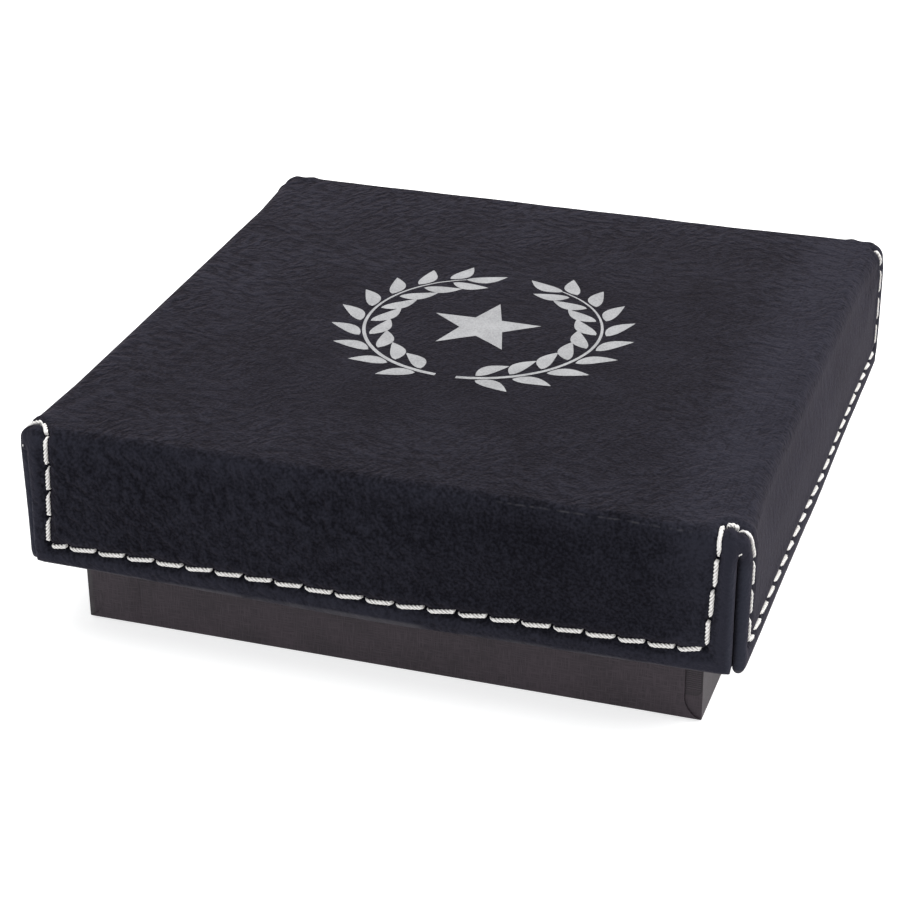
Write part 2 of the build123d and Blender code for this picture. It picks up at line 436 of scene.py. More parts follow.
class Palette:
    """The nodes of one material, with the few helpers that all finishes share."""

    def __init__(self, name: str) -> None:
        """Makes an empty material."""
        self.material = bpy.data.materials.new(name)
        self.material.use_nodes = True
        self.tree = self.material.node_tree
        self.tree.nodes.clear()

    def place(self) -> Shade:
        """Where a point of the surface is at rest, in metres."""
        return node(self.tree, "ShaderNodeTexCoord", output="Object")

    def facing(self) -> Shade:
        """The direction that the surface faces at rest."""
        return node(self.tree, "ShaderNodeTexCoord", output="Normal")

    def joined(self, x: Shade | float, y: Shade | float, z: Shade | float) -> Shade:
        """A vector made of three numbers."""
        return node(self.tree, "ShaderNodeCombineXYZ", None, {0: x, 1: y, 2: z})

    def axis(self, vector: Shade, letter: str) -> Shade:
        """One of a vector's three numbers."""
        return node(self.tree, "ShaderNodeSeparateXYZ", None, {0: vector}, letter)

    def stretched(self, vector: Shade, scale: Triple, turn: float = 0.0) -> Shade:
        """A vector with its axes scaled, after a turn.

        Args:
            vector: where a point is.
            scale: the factor for each axis.
            turn: the turn about Z, in degrees.

        Returns:
            The new vector.
        """
        angle = (0.0, 0.0, math.radians(turn))
        turned = node(self.tree, "ShaderNodeMapping", None, {"Vector": vector, "Rotation": angle})
        return node(self.tree, "ShaderNodeMapping", None, {"Vector": turned, "Scale": scale})

    def noise(self, vector: Shade, size: float, detail: float = 2.0, warp: float = 0.0) -> Shade:
        """Soft noise.

        Args:
            vector: where it is looked up, in metres.
            size: the size of a bump, in millimetres.
            detail: how many finer layers it has.
            warp: how far it is twisted.

        Returns:
            A value from 0 to 1.
        """
        inputs = {"Vector": vector, "Scale": 1.0 / (size * MM), "Detail": detail, "Distortion": warp}
        return node(self.tree, "ShaderNodeTexNoise", None, inputs, "Fac")

    def cells(self, vector: Shade, size: float, feature: str = "F1") -> Shade:
        """Distance to the nearest of many scattered points, or to the borders between them."""
        inputs = {"Vector": vector, "Scale": 1.0 / (size * MM)}
        return node(self.tree, "ShaderNodeTexVoronoi", {"feature": feature}, inputs, "Distance")

    def blend(self, share: Shade | float, start: Shade | Colour, end: Shade | Colour) -> Shade:
        """A colour between two others.

        Args:
            share: how much of the second shows, from 0 to 1.
            start: the first colour.
            end: the second.

        Returns:
            Their mixture.
        """
        settings = {"data_type": "RGBA"}
        inputs = {0: share, 6: start, 7: end}
        return node(self.tree, "ShaderNodeMix", settings, inputs, 2)

    def bump(self, height: Shade, depth: float) -> Shade:
        """A surface direction from a relief whose height of 1 stands for so many millimetres."""
        return node(self.tree, "ShaderNodeBump", None, {"Height": height, "Distance": depth * MM})

    def finish(self, inputs: dict[str, Any]) -> bpy.types.Material:
        """Ends the material in a principled shader.

        Args:
            inputs: a value or a Shade for each of its sockets.

        Returns:
            The material.
        """
        shader = node(self.tree, "ShaderNodeBsdfPrincipled", None, inputs)
        node(self.tree, "ShaderNodeOutputMaterial", None, {"Surface": shader})
        return self.material


@dataclass(frozen=True)
class Leatherette:
    """Matt suede-like leatherette with a wrinkled grain whose direction differs from face to face.

    Lengths are in millimetres and turns in degrees. Drift and sway are the size and the reach of the
    swerves that the wrinkles take, and every other pair is where a change starts and how wide it is.
    """

    dark: Colour = (0.0034, 0.0035, 0.0056)
    light: Colour = (0.0234, 0.0238, 0.0338)
    # Pale colour of the painted highlight along the lid's lower edge, and of the crease's pale rub.
    highlight_and_wear: Colour = (0.075, 0.072, 0.080)
    # Pale blue of the painted highlight on the flap ends' rolled edges.
    rim: Colour = (0.036, 0.039, 0.054)
    sheen: Colour = (1.0, 0.80, 0.93)
    top_grain: float = 1.45
    wall_grain: float = 1.15
    fine_grain: float = 0.42
    stretch: float = 0.64
    top_turn: float = -18.0
    cross_turn: float = 62.0
    front_turn: float = -55.0
    side_turn: float = 70.0
    drift: Pair = (22.0, 4.5)
    sway: Pair = (5.0, 1.6)
    eddy: float = 15.0
    patch: float = 11.0
    off_middle: Pair = (24.0, 26.0)
    back_left: Pair = (-35.0, 90.0)
    right_part: Pair = (-8.0, 34.0)
    brushed: Pair = (36.0, 9.0)
    brush_pitch: float = 0.26
    brush_length: float = 0.03
    # Where the painted highlight on the upper front and back walls starts and how wide it is.
    brow_highlight: Pair = (27.5, 3.5)
    hem: Pair = (46.9, 1.1)
    seam: Pair = (12.9, 1.0)
    flap_end: Pair = (48.4, 0.7)
    slit_top: Pair = (25.9, 3.0)
    # Where the painted highlight along the lid's lower edge fades out.
    lower_edge_highlight: Pair = (11.45, 0.55)
    crease_height: float = 31.35
    crease_width: float = 0.16
    crease_start: Pair = (14.0, 8.0)
    crease_end: Pair = (43.0, 1.0)
    relief: float = 0.20

    def _ridges(
        self,
        palette: Palette,
        across: Shade,
        upward: Shade,
        turn: float,
        grain: float,
    ) -> Shade:
        """Wrinkles of one face.

        Args:
            palette: the material.
            across: the face's first coordinate, in metres.
            upward: its second coordinate.
            turn: the direction of the wrinkles from the first towards the second.
            grain: the width of a wrinkle.

        Returns:
            Their height, from 0 to 1.
        """
        cosine, sine = math.cos(math.radians(turn)), math.sin(math.radians(turn))
        along = across * (cosine * self.stretch) + upward * (sine * self.stretch)
        beside = upward * cosine - across * sine
        return palette.noise(palette.joined(along, beside, 0.0), grain, 1.0).step(0.30, 0.70)

    def _wrinkles(self, palette: Palette, place: Shade, on_top: Shade, on_side: Shade) -> Shade:
        """Wrinkles of the whole cover, which run in two directions on its top and in one on each wall.

        Args:
            palette: the material.
            place: where a point is.
            on_top: 1 where the cover faces up.
            on_side: 1 where a wall faces left or right, and 0 where it faces forwards or back.

        Returns:
            Their height, from 0 to 1.
        """
        x, y, z = (palette.axis(place, letter) for letter in "XYZ")
        drift = palette.noise(place, self.drift[0], 1.0) * (self.drift[1] * MM)
        sway = palette.noise(place, self.sway[0], 1.0) * (self.sway[1] * MM)
        eddies = palette.noise(place, self.eddy, 1.0).step(0.42, 0.58)
        first = self._ridges(palette, x + sway, y + drift + sway, self.top_turn, self.top_grain)
        second = self._ridges(palette, x + sway, y + drift - sway, self.cross_turn, self.wall_grain)
        top = first + (second - first) * eddies
        front = self._ridges(palette, x + sway, z + drift, self.front_turn, self.wall_grain)
        side = self._ridges(palette, y + sway, z + drift, self.side_turn, self.wall_grain)
        walls = front + (side - front) * on_side
        return walls + (top - walls) * on_top

    def _brushing(self, palette: Palette, place: Shade, on_top: Shade) -> Shade:
        """Fine lines that run towards the back at the right of the top, and down the right wall.

        Args:
            palette: the material.
            place: where a point is.
            on_top: 1 where the cover faces up.

        Returns:
            Their height, from 0 to 1.
        """
        x, y, z = (palette.axis(place, letter) for letter in "XYZ")
        long_y, long_z = y * self.brush_length, z * self.brush_length
        top = palette.noise(palette.joined(x, long_y, 0.0), self.brush_pitch, 1.0)
        side = palette.noise(palette.joined(y, long_z, 0.0), self.brush_pitch, 1.0)
        return (side + (top - side) * on_top) * x.past(*self.brushed)

    def _crease(self, palette: Palette, place: Shade, on_side: Shade) -> Shade:
        """The fold that is rubbed pale here and there along the right half of the front's top edge.

        Args:
            palette: the material.
            place: where a point is.
            on_side: 0 where a wall faces forwards or back.

        Returns:
            How much of the rub shows, from 0 to 1.
        """
        x, z = (palette.axis(place, letter) for letter in "XZ")
        line = 1.0 - (abs(z - self.crease_height * MM) / (self.crease_width * MM)).least(1.0)
        reach = x.past(*self.crease_start) * (1.0 - x.past(*self.crease_end))
        return line * (1.0 - on_side) * reach * palette.noise(place, 1.3, 4.0).step(0.42, 0.62)

    def build(self) -> bpy.types.Material:
        """Makes the material.

        Returns:
            The material.
        """
        palette = Palette("leatherette")
        place = palette.place()
        x, y, z = (palette.axis(place, letter) for letter in "XYZ")
        facing = palette.facing()
        upright, frontal, sideways = (abs(palette.axis(facing, letter)) for letter in "ZYX")
        on_top = upright.step(0.45, 0.85)
        on_wall = 1.0 - on_top
        on_side = (sideways - frontal).step(-0.3, 0.3)
        by_corner = abs(x).least(abs(y))
        ridges = self._wrinkles(palette, place, on_top, on_side)
        lines = self._brushing(palette, place, on_top)
        fine = palette.noise(place, self.fine_grain, 3.0).step(0.22, 0.78)
        patches = palette.noise(place, self.patch, 2.0)
        off_middle = abs(x).most(abs(y)).past(*self.off_middle)
        back_left = (y - x).past(*self.back_left)
        leftward = 1.0 - x.past(*self.right_part)
        drawn = (patches * 0.20 + off_middle * 0.14 + back_left * 0.14) * on_top
        drawn = drawn + on_wall * (leftward * 0.16 + 0.09)
        # Painted highlight: the upper part of the front and back walls, under the top edge, is made
        # lighter.
        brow_highlight = z.past(*self.brow_highlight) * on_wall * (1.0 - on_side)
        # Painted highlight: the walls near the flap ends and below the seam are made lighter.
        hem_highlight = by_corner.past(*self.hem).most(1.0 - z.past(*self.seam)) * on_wall
        tone = ridges * drawn * 1.05 + fine * 0.52 + patches * 0.32 + lines * 0.60 + brow_highlight * 0.16 + 0.02
        cloth = palette.blend((tone + hem_highlight * 0.34).step(0.15, 1.15), self.dark, self.light)
        # Painted highlight: the rolled edges at the flap ends, below the slits' tops, are tinted pale
        # blue.
        rim = by_corner.past(*self.flap_end) * (1.0 - z.past(*self.slit_top))
        cloth = palette.blend(rim * 0.55, cloth, self.rim)
        # Painted highlight: a pale band in patches along the lid's lower edge, where the rolled hem
        # catches light from below. The crease's pale rub is mixed in with it.
        pale_band = (1.0 - z.past(*self.lower_edge_highlight)) * patches.step(0.30, 0.55)
        highlight_and_wear = pale_band * 0.75 + self._crease(palette, place, on_side) * 0.5
        height = ridges * drawn * 3.4 + fine * 0.42 + lines * 0.45
        return palette.finish({
            "Base Color": palette.blend(highlight_and_wear, cloth, self.highlight_and_wear),
            "Roughness": 0.74 + fine * 0.12,
            "Specular IOR Level": 0.03,
            "Sheen Weight": 0.045,
            "Sheen Roughness": 0.5,
            "Sheen Tint": self.sheen,
            "Normal": palette.bump(height, self.relief),
        })


@dataclass(frozen=True)
class Thread:
    """Off-white waxed sewing thread, with painted shade in the furrows between its plies."""

    pale: Colour = (0.98, 0.955, 0.925)
    shaded: Colour = (0.24, 0.21, 0.19)

    def build(self) -> bpy.types.Material:
        """Makes the material.

        Returns:
            The material.
        """
        palette = Palette("thread")
        place = palette.place()
        fibres = palette.noise(place, 0.16, 3.0)
        crest = node(palette.tree, "ShaderNodeNewGeometry", output="Pointiness")
        # Painted shade: the furrows between the plies, where the pointiness is low, are coloured
        # darker.
        tone = fibres.step(0.20, 0.52) * 0.20 + crest.step(0.45, 0.54) * 0.80
        return palette.finish({
            "Base Color": palette.blend(tone, self.shaded, self.pale),
            "Roughness": 0.55,
            "Specular IOR Level": 0.35,
            "Normal": palette.bump(fibres, 0.05),
        })


@dataclass(frozen=True)
class LinenPaper:
    """Charcoal covering paper embossed with an uneven linen weave, ribbed on the tabs at its laps.

    Lengths are in millimetres. The wobble is the size and the reach of the threads' waves, and the
    other pairs are where a change starts and how wide it is.
    """

    dark: Colour = (0.0140, 0.0100, 0.0135)
    light: Colour = (0.0440, 0.0320, 0.0400)
    crease: Colour = (0.008, 0.007, 0.008)
    pale_band: Colour = (0.085, 0.085, 0.083)
    thread: float = 0.16
    slub: float = 2.2
    relief: float = 0.035
    wall: float = 44.2
    edge_width: float = 0.05
    rubbed_width: float = 0.5
    tab_edge: float = 44.45
    tab_foot: float = 3.9
    tab_start: float = 42.2
    tab_corner: float = 1.0
    tab_line: Pair = (0.03, 0.10)
    rib_foot: Pair = (4.5, 0.2)
    rib_pitch: float = 0.31
    wobble: Pair = (6.0, 0.4)
    cloud: float = 7.0

    def _weave(self, palette: Palette, level: Shade, upright: Shade) -> Shade:
        """The backs of the threads that run both ways, with slubs along them.

        Args:
            palette: the material.
            level: the way round the walls, in metres.
            upright: the height.

        Returns:
            Their relief, from 0 to 1.
        """
        stretch = self.thread / self.slub
        weft = palette.noise(palette.joined(level * stretch, upright, 0.0), self.thread, 1.0)
        warp = palette.noise(palette.joined(level, upright * stretch, 0.5), self.thread, 1.0)
        return weft.most(warp)

    def _tab(self, x: Shade, z: Shade) -> Shade:
        """The rounded edge of a tab.

        Args:
            x: the way across the face, in metres.
            z: the height.

        Returns:
            Distance from the edge, below zero inside it.
        """
        beyond = x - (self.tab_edge - self.tab_corner) * MM
        below = (self.tab_foot + self.tab_corner) * MM - z
        corner = (beyond.most(0.0) ** 2.0 + below.most(0.0) ** 2.0).root()
        return corner + beyond.most(below).least(0.0) - self.tab_corner * MM

    def build(self) -> bpy.types.Material:
        """Makes the material.

        Returns:
            The material.
        """
        palette = Palette("linen_paper")
        place = palette.place()
        x, y, z = (palette.axis(place, letter) for letter in "XYZ")
        wobble = palette.noise(place, self.wobble[0], 1.0) * (self.wobble[1] * MM)
        weave = self._weave(palette, x + y + wobble, z + wobble)
        cloud = palette.noise(place, self.cloud, 2.0)
        edge = self._tab(x, z)
        frontal = abs(y).past(self.wall, self.edge_width)
        on_tab = frontal * x.past(self.tab_start, self.edge_width)
        within = on_tab * (1.0 - edge.past(-0.1, 0.1))
        ribbed = within * z.past(*self.rib_foot)
        ribs = ((z + wobble * 0.5) * (math.tau / (self.rib_pitch * MM))).sine() * 0.5 + 0.5
        tone = weave * 0.75 + cloud * 0.35 - within * 0.16 + (ribs - 0.5) * ribbed * 0.50
        paper = palette.blend(tone.step(0.36, 0.80), self.dark, self.light)
        left_end = (x * -1.0).past(self.wall - self.rubbed_width, self.rubbed_width)
        pale_band = frontal * left_end * cloud.step(0.30, 0.60)
        paper = palette.blend(pale_band * 0.45, paper, self.pale_band)
        line = on_tab * (1.0 - abs(edge).past(*self.tab_line))
        height = weave + (ribs * 1.4 - weave) * ribbed
        return palette.finish({
            "Base Color": palette.blend(line * 0.8, paper, self.crease),
            "Roughness": 0.60,
            "Specular IOR Level": 0.30,
            "Normal": palette.bump(height, self.relief),
        })


@dataclass(frozen=True)
class PlainPaper:
    """Smooth paper with a faint fibre, for liners, wraps and stays."""

    name: str
    dark: Colour
    light: Colour
    roughness: float = 0.7

    def build(self) -> bpy.types.Material:
        """Makes the material.

        Returns:
            The material.
        """
        palette = Palette(self.name)
        place = palette.place()
        fibres = palette.noise(palette.stretched(place, (0.5, 1.0, 1.0), 25.0), 0.5, 4.0, 0.8)
        cloud = palette.noise(place, 7.0, 2.0)
        tone = (fibres * 0.7 + cloud * 0.5).step(0.3, 0.9)
        return palette.finish({
            "Base Color": palette.blend(tone, self.dark, self.light),
            "Roughness": self.roughness,
            "Specular IOR Level": 0.3,
            "Normal": palette.bump(fibres, 0.02),
        })


@dataclass(frozen=True)
class Greyboard:
    """Recycled board with flecks and, on its cut edges, thin layers."""

    dark: Colour = (0.17, 0.16, 0.15)
    light: Colour = (0.30, 0.285, 0.265)

    def build(self) -> bpy.types.Material:
        """Makes the material.

        Returns:
            The material.
        """
        palette = Palette("greyboard")
        place = palette.place()
        flecks = palette.noise(place, 0.35, 3.0)
        layers = palette.noise(palette.stretched(place, (0.1, 0.1, 1.0)), 0.3, 2.0)
        tone = (flecks * 0.7 + layers * 0.4).step(0.3, 0.8)
        return palette.finish({
            "Base Color": palette.blend(tone, self.dark, self.light),
            "Roughness": 0.85,
            "Specular IOR Level": 0.25,
            "Normal": palette.bump(flecks + layers * 0.5, 0.04),
        })


@dataclass(frozen=True)
class Foam:
    """Charcoal foam with small open cells, with painted shade in their hollows."""

    dark: Colour = (0.012, 0.012, 0.013)
    light: Colour = (0.050, 0.050, 0.053)
    cell: float = 0.55

    def build(self) -> bpy.types.Material:
        """Makes the material.

        Returns:
            The material.
        """
        palette = Palette("foam")
        place = palette.place()
        cells = palette.cells(place, self.cell, "DISTANCE_TO_EDGE")
        pores = palette.cells(place, 1.7 * self.cell)
        walls = cells.step(0.0, 0.35)
        cloud = palette.noise(place, 12.0, 2.0)
        # Painted shade: the hollows of the cells are darker than their walls.
        tone = (1.0 - walls) * 0.6 + pores * 0.35 + cloud * 0.25
        return palette.finish({
            "Base Color": palette.blend(tone.step(0.1, 0.9), self.dark, self.light),
            "Roughness": 0.9,
            "Specular IOR Level": 0.2,
            "Normal": palette.bump(1.0 - walls * 0.8, 0.12),
        })


@dataclass(frozen=True)
class Engraving:
    """The silvery under-layer that shows where the leatherette's surface is burnt away."""

    dark: Colour = (0.27, 0.27, 0.28)
    light: Colour = (0.42, 0.42, 0.43)

    def build(self) -> bpy.types.Material:
        """Makes the material.

        Returns:
            The material.
        """
        palette = Palette("engraved_silver")
        place = palette.place()
        specks = palette.noise(place, 0.22, 3.0)
        cloud = palette.noise(place, 3.0, 2.0)
        tone = (specks * 0.8 + cloud * 0.4).step(0.35, 0.8)
        return palette.finish({
            "Base Color": palette.blend(tone, self.dark, self.light),
            "Roughness": 0.6,
            "Metallic": 0.15,
            "Specular IOR Level": 0.4,
            "Normal": palette.bump(specks, 0.03),
        })


@dataclass(frozen=True)
class Stitch:
    """One stitch of the seam, from one needle hole to the next.

    The bow is how far its middle is drawn aside, the lean how far its ends stand to either side, and
    the short pair how far it stops short of its holes. The arch says how abruptly each half dives
    into its hole: the lower, the rounder.
    """

    start: np.ndarray
    end: np.ndarray
    bow: np.ndarray = field(default_factory=lambda: np.zeros(3))
    lean: float = 0.0
    bulk: float = 1.0
    short: Pair = (0.30, 0.32)
    arch: Pair = (9.0, 60.0)


@dataclass
class SeamPlan:
    """Where the needle goes through the cover, in millimetres.

    A side is taken along from its middle towards the next corner, out from the box's centre and up
    from the table. At the front corners the seam passes over the top from one side to the next. At
    the back ones it goes under the leatherette from one wall to the other.
    """

    left: float = -46.75
    first_hole: float = -44.10
    row_pitch: float = 4.345
    row_stitches: int = 18
    last_pitch: float = 3.95
    last_stitches: int = 3
    height: float = 14.55
    sag: float = 0.45
    sag_middle: float = 2.0
    sag_width: float = 13.0
    row_slant: float = -0.20
    side_slant: float = 0.34
    side_arch: Pair = (10.0, 60.0)
    side_short: Pair = (0.10, 0.14)
    rise_slant: float = -0.13
    rise_short: Pair = (0.36, 0.40)
    corner_short: float = 0.70
    left_column: float = -47.0
    side_shift: float = -0.35
    left_foot: float = 14.95
    left_pitch: float = 4.02
    left_swing: float = 0.95
    left_swing_length: float = 9.0
    right_foot: float = 14.95
    right_pitch: float = 4.50
    right_lean: float = 0.078
    upright_stitches: int = 3
    wide_passage: tuple[Pair, ...] = ((47.1, 48.1), (49.2, 47.95))
    wide_bow: Triple = (0.05, -0.42, 0.0)
    short_passage: tuple[Pair, ...] = ((47.6, 47.85), (50.15, 46.2))
    short_bow: Triple = (0.0, -0.15, 0.0)
    back_passage: tuple[Pair, ...] = ((47.3, 49.5), (49.5, 47.3))
    back_drop: float = 0.6
    tack: Triple = (50.15, 50.35, 29.0)
    tack_lie: Triple = (0.2, -0.2, 0.5)
    tack_length: float = 0.6
    tack_bulk: float = 0.42
    tack_short: Pair = (0.1, 0.1)

    @property
    def right(self) -> float:
        """Where the bottom row ends."""
        return self.last_even + self.last_pitch * self.last_stitches

    @property
    def last_even(self) -> float:
        """Where the bottom row's even stitches end and the shorter last ones begin."""
        return self.first_hole + self.row_pitch * self.row_stitches

    def row_height(self, along: float) -> float:
        """Height of the bottom row, which sags in its middle."""
        return self.height - self.sag * math.exp(-(((along - self.sag_middle) / self.sag_width) ** 2))

    def bottom_row(self, face: float) -> list[Triple]:
        """Holes of the bottom row from left to right.

        Args:
            face: distance out to the hem.

        Returns:
            Each hole as along, out and up.
        """
        even = [self.first_hole + self.row_pitch * number for number in range(self.row_stitches + 1)]
        steps = range(1, self.last_stitches + 1)
        last = [self.last_even + self.last_pitch * number for number in steps]
        row = [(along, face, self.row_height(along)) for along in [self.left, *even, *last]]
        return [*row[:-1], (row[-1][0], face, self.right_foot)]

    def right_rise(self, face: float) -> list[Triple]:
        """Holes of the right upright row, from the bottom."""
        steps = [self.right_pitch * number for number in range(self.upright_stitches + 1)]
        return [(self.right + self.right_lean * step, face, self.right_foot + step) for step in steps]

    def left_rise(self, face: float) -> list[Triple]:
        """Holes of the left upright row, from the bottom.

        Args:
            face: distance out to the hem.

        Returns:
            Each hole as along, out and up.
        """
        steps = [self.left_pitch * number for number in range(self.upright_stitches + 1)]
        swing = [self.left_swing * math.sin(step / self.left_swing_length) for step in steps]
        return [(self.left_column + shift, face, self.left_foot + step)
                for shift, step in zip(swing, steps)]

    def bottom_stitches(self, side: int, face: float) -> list[Stitch]:
        """The stitches along the bottom of a side.

        On odd sides they lie rounder and slant the other way.

        Args:
            side: the side's number.
            face: distance out to the hem.

        Returns:
            The stitches from left to right.
        """
        row = np.array(self.bottom_row(face))
        found = [Stitch(start, end, lean=self.row_slant) for start, end in zip(row, row[1:])]
        if side % 2:
            found = [replace(stitch, lean=self.side_slant, arch=self.side_arch, short=self.side_short)
                     for stitch in found]
        found[-1] = replace(found[-1], short=(found[-1].short[0], self.corner_short))
        return found

    def corner_stitches(self, side: int, face: float, top: float) -> list[Stitch]:
        """The stitches up, over and down the corner at a side's right end.

        Args:
            side: the side's number. Behind sides 1 and 2 the stitch over the top is left out.
            face: distance out to the hem.
            top: height of the lid's top.

        Returns:
            The stitches in the order in which they are sewn.
        """
        even, behind = side % 2 == 0, side in (1, 2)
        passage = [(*place, top) for place in (self.wide_passage if even else self.short_passage)]
        if behind:
            passage = [(*place, top - self.back_drop) for place in self.back_passage]
        shift = self.side_shift if even else 0.0
        descent = [(out, -along - shift, up) for along, out, up in self.left_rise(face)[::-1]]
        climb = np.array(self.right_rise(face) + passage + descent)
        crossing = self.upright_stitches + 1
        bow = np.array(self.wide_bow if even else self.short_bow)
        before, after = self.rise_short
        found = []
        for number, (start, end) in enumerate(zip(climb, climb[1:])):
            if behind and number == crossing:
                continue
            lean = self.rise_slant * (number < crossing)
            first = self.corner_short if number == 0 else before
            found.append(Stitch(start, end, bow * (number == crossing), lean, short=(first, after)))
        return found

    def stitches(self, side: int, face: float, top: float) -> list[Stitch]:
        """The stitches along the bottom of a side and round the corner at its right end.

        Args:
            side: the side's number.
            face: distance out to the hem.
            top: height of the lid's top.

        Returns:
            The stitches, in the side's own terms.
        """
        return self.bottom_stitches(side, face) + self.corner_stitches(side, face, top)

    def corner_tack(self) -> Stitch:
        """The tiny stitch that holds a corner's slit closed at its top, in a side's own terms."""
        half = np.array(self.tack_lie) * self.tack_length
        return Stitch(self.tack - half, self.tack + half, bulk=self.tack_bulk, short=self.tack_short)


@dataclass
class LeatherCover:
    """The leatherette over the lid: a top drawn down over its edges and four hemmed flaps.

    A side is worked out in its own terms: along it from its middle, out from the box's centre and
    up from the table. Side 0 is the front, and the others follow anticlockwise seen from above.
    """

    hem_face: float
    top: float
    lower_edge: float
    thickness: float = 0.88
    roll: float = 0.875
    front_bend: float = 1.6
    side_bend: float = 2.3
    corner_swell: float = 0.70
    swell_end: float = 46.5
    deepest_bend: float = 2.2
    slit_top: float = 29.6
    slit_fade: float = 1.7
    hem_fade: float = 7.5
    hem_band: float = 9.0
    flap_reach: float = 48.4
    flap_corner: float = 0.30
    squareness: float = 0.8
    edge_rise: float = 0.40
    side_edge_rise: float = 0.12
    rise_reach: Pair = (22.0, 50.0)
    edge_sag: float = 0.33
    edge_sag_middle: float = -4.0
    edge_sag_width: float = 16.0
    tray_fold: tuple[Pair, ...] = ((49.05, 29.82), (48.67, 30.75), (47.74, 31.13))
    clear_of_wall: float = 0.3
    clear_of_top: float = 0.2
    coarse: float = 0.5
    fine: float = 0.27
    slit_rows: float = 0.3
    fine_end: float = 5.5
    fine_above_seam: float = 1.7
    bend_rows: int = 8
    end_columns: int = 2
    roll_steps: int = 6
    groove_depth: float = 0.36
    groove_width: float = 0.58
    pillow_height: float = 0.20
    pillow_away: float = 1.7
    pillow_width: float = 0.75
    pit_depth: float = 0.85
    pit_width: float = 0.37
    near_hole: float = 0.9
    line_points: int = 14
    corner_slack: float = 0.2
    slit_ease: float = 0.8
    slit_hold: Pair = (0.1, 0.6)
    free_wall: Pair = (49.1, 49.7)
    free_top: Pair = (31.3, 31.7)
    ripples: tuple[Pair, ...] = ((21.0, 0.13), (7.0, 0.045), (2.2, 0.022))
    ripple_seed: float = 7.3
    seam: SeamPlan = field(default_factory=SeamPlan)

    @property
    def single_face(self) -> float:
        """Distance out to the cover where it is a single layer."""
        return self.hem_face - self.thickness

    @property
    def flap_low(self) -> float:
        """Height of the lowest row of a flap's outer face, above the rolled edge."""
        return self.lower_edge + self.roll

    def bend(self, side: int) -> float:
        """Radius of the bend along a side's top edge, in the middle of the side."""
        return self.side_bend if side % 2 else self.front_bend

    def centre(self, side: int) -> float:
        """Distance out to the centre line of a side's bend."""
        return self.single_face - self.bend(side)

    def swell(self, along: np.ndarray) -> np.ndarray:
        """How far the cover stands out near the corners, where its folds lie under it."""
        start = self.hem_face - 2 * self.hem_band
        return self.corner_swell * smooth(np.abs(along), start, self.swell_end)

    def corner_reach(self, side: int) -> float:
        """Radius of the bend at a side's corners."""
        return self.bend(side) + self.corner_swell

    def corner_drop(self, side: int) -> float:
        """Height of the bend at a side's corners."""
        return min(self.corner_reach(side), self.deepest_bend)

    def placed(self, local: np.ndarray, side: int) -> np.ndarray:
        """Turns one side's own terms into the row frame.

        Args:
            local: points as along, out and up on the last axis.
            side: the side's number.

        Returns:
            The same points as x, y and z.
        """
        along, out, up = local[..., 0], local[..., 1], local[..., 2]
        turn = side * math.pi / 2
        x = along * math.cos(turn) + out * math.sin(turn)
        y = along * math.sin(turn) - out * math.cos(turn)
        return np.stack([x, y, up], -1)

    def fall(self, height: np.ndarray) -> np.ndarray:
        """Share of the full hem at the ends of a flap, by height."""
        return smooth(self.slit_top - np.asarray(height, float), 0.0, self.slit_fade)

    def out_at(self, along: np.ndarray, height: np.ndarray) -> np.ndarray:
        """Distance out to a flap's outer face.

        Args:
            along: positions along the side.
            height: heights.

        Returns:
            The distance at each of them.
        """
        inner, outer = self.hem_face - 2 * self.hem_band, self.hem_face - self.hem_band / 2
        end_share = smooth(np.abs(along), inner, outer)
        reach = mix(self.hem_fade, self.slit_fade, end_share)
        share = np.clip((self.slit_top - height) / reach, 0.0, 1.0)
        start = self.single_face + self.swell(along)
        return mix(start, self.hem_face, share * share * (3.0 - 2.0 * share))

    def columns(self, side: int) -> np.ndarray:
        """Positions along a side between the centres of its two corners.

        Args:
            side: the side's number.

        Returns:
            The positions, closer together near the ends.
        """
        end = self.centre(side + 1)
        inner = end - self.fine_end
        right = spaced(inner, end, self.fine)
        return chained(-right[::-1], spaced(-inner, inner, self.coarse), right)

    def flap_heights(self) -> np.ndarray:
        """Heights of a flap's rows, from the top of the slits down to the rolled edge.

        Returns:
            The heights, closer together near the slits' tops and the seam.
        """
        near_slit = spaced(self.slit_top, self.slit_top - self.slit_fade, self.slit_rows)
        middle = spaced(near_slit[-1], self.seam.height + self.fine_above_seam, self.coarse)
        low = spaced(middle[-1], self.flap_low, self.fine)
        return chained(near_slit, middle, low)

    def top_sheet(self, draft: MeshDraft) -> None:
        """Adds the flat of the top.

        Args:
            draft: where the faces go.
        """
        x = self.columns(0)
        y = self.columns(1)
        grid = np.stack(np.meshgrid(x, y, indexing="xy") + [np.full((len(y), len(x)), self.top)], -1)
        draft.add_grid(grid)

    def shoulder(self, draft: MeshDraft, side: int) -> None:
        """Adds the bend along one top edge and the wall below it, down to the top of the slits.

        Args:
            draft: where the faces go.
            side: the side's number.
        """
        along = self.columns(side)[None, :]
        reach = self.bend(side) + self.swell(along)
        drop = np.minimum(reach, self.deepest_bend)
        angles = np.linspace(0.0, math.pi / 2, self.bend_rows + 1)[:, None]
        out = self.centre(side) + reach * np.sin(angles)
        up = self.top - drop + drop * np.cos(angles)
        grid = np.stack([np.broadcast_to(along, out.shape), out, up], -1)
        foot = grid[-1:].copy()
        foot[..., 2] = self.slit_top
        draft.add_grid(self.placed(np.concatenate([grid, foot]), side))

    def corner_turns(self) -> np.ndarray:
        """Angles round a corner, shared by the corner patch and the ends of the flaps.

        Returns:
            The angles from 0 to a quarter turn.
        """
        straight = self.flap_reach - 0.5 * (self.centre(0) + self.centre(1))
        rolled = self.roll * math.pi / 2
        split = math.pi / 4 * straight / (straight + rolled)
        first = np.linspace(0.0, split, self.end_columns + 1)
        second = np.linspace(split, math.pi / 4, self.roll_steps + 1)
        half = chained(first, second)
        return chained(half, math.pi / 2 - half[::-1])

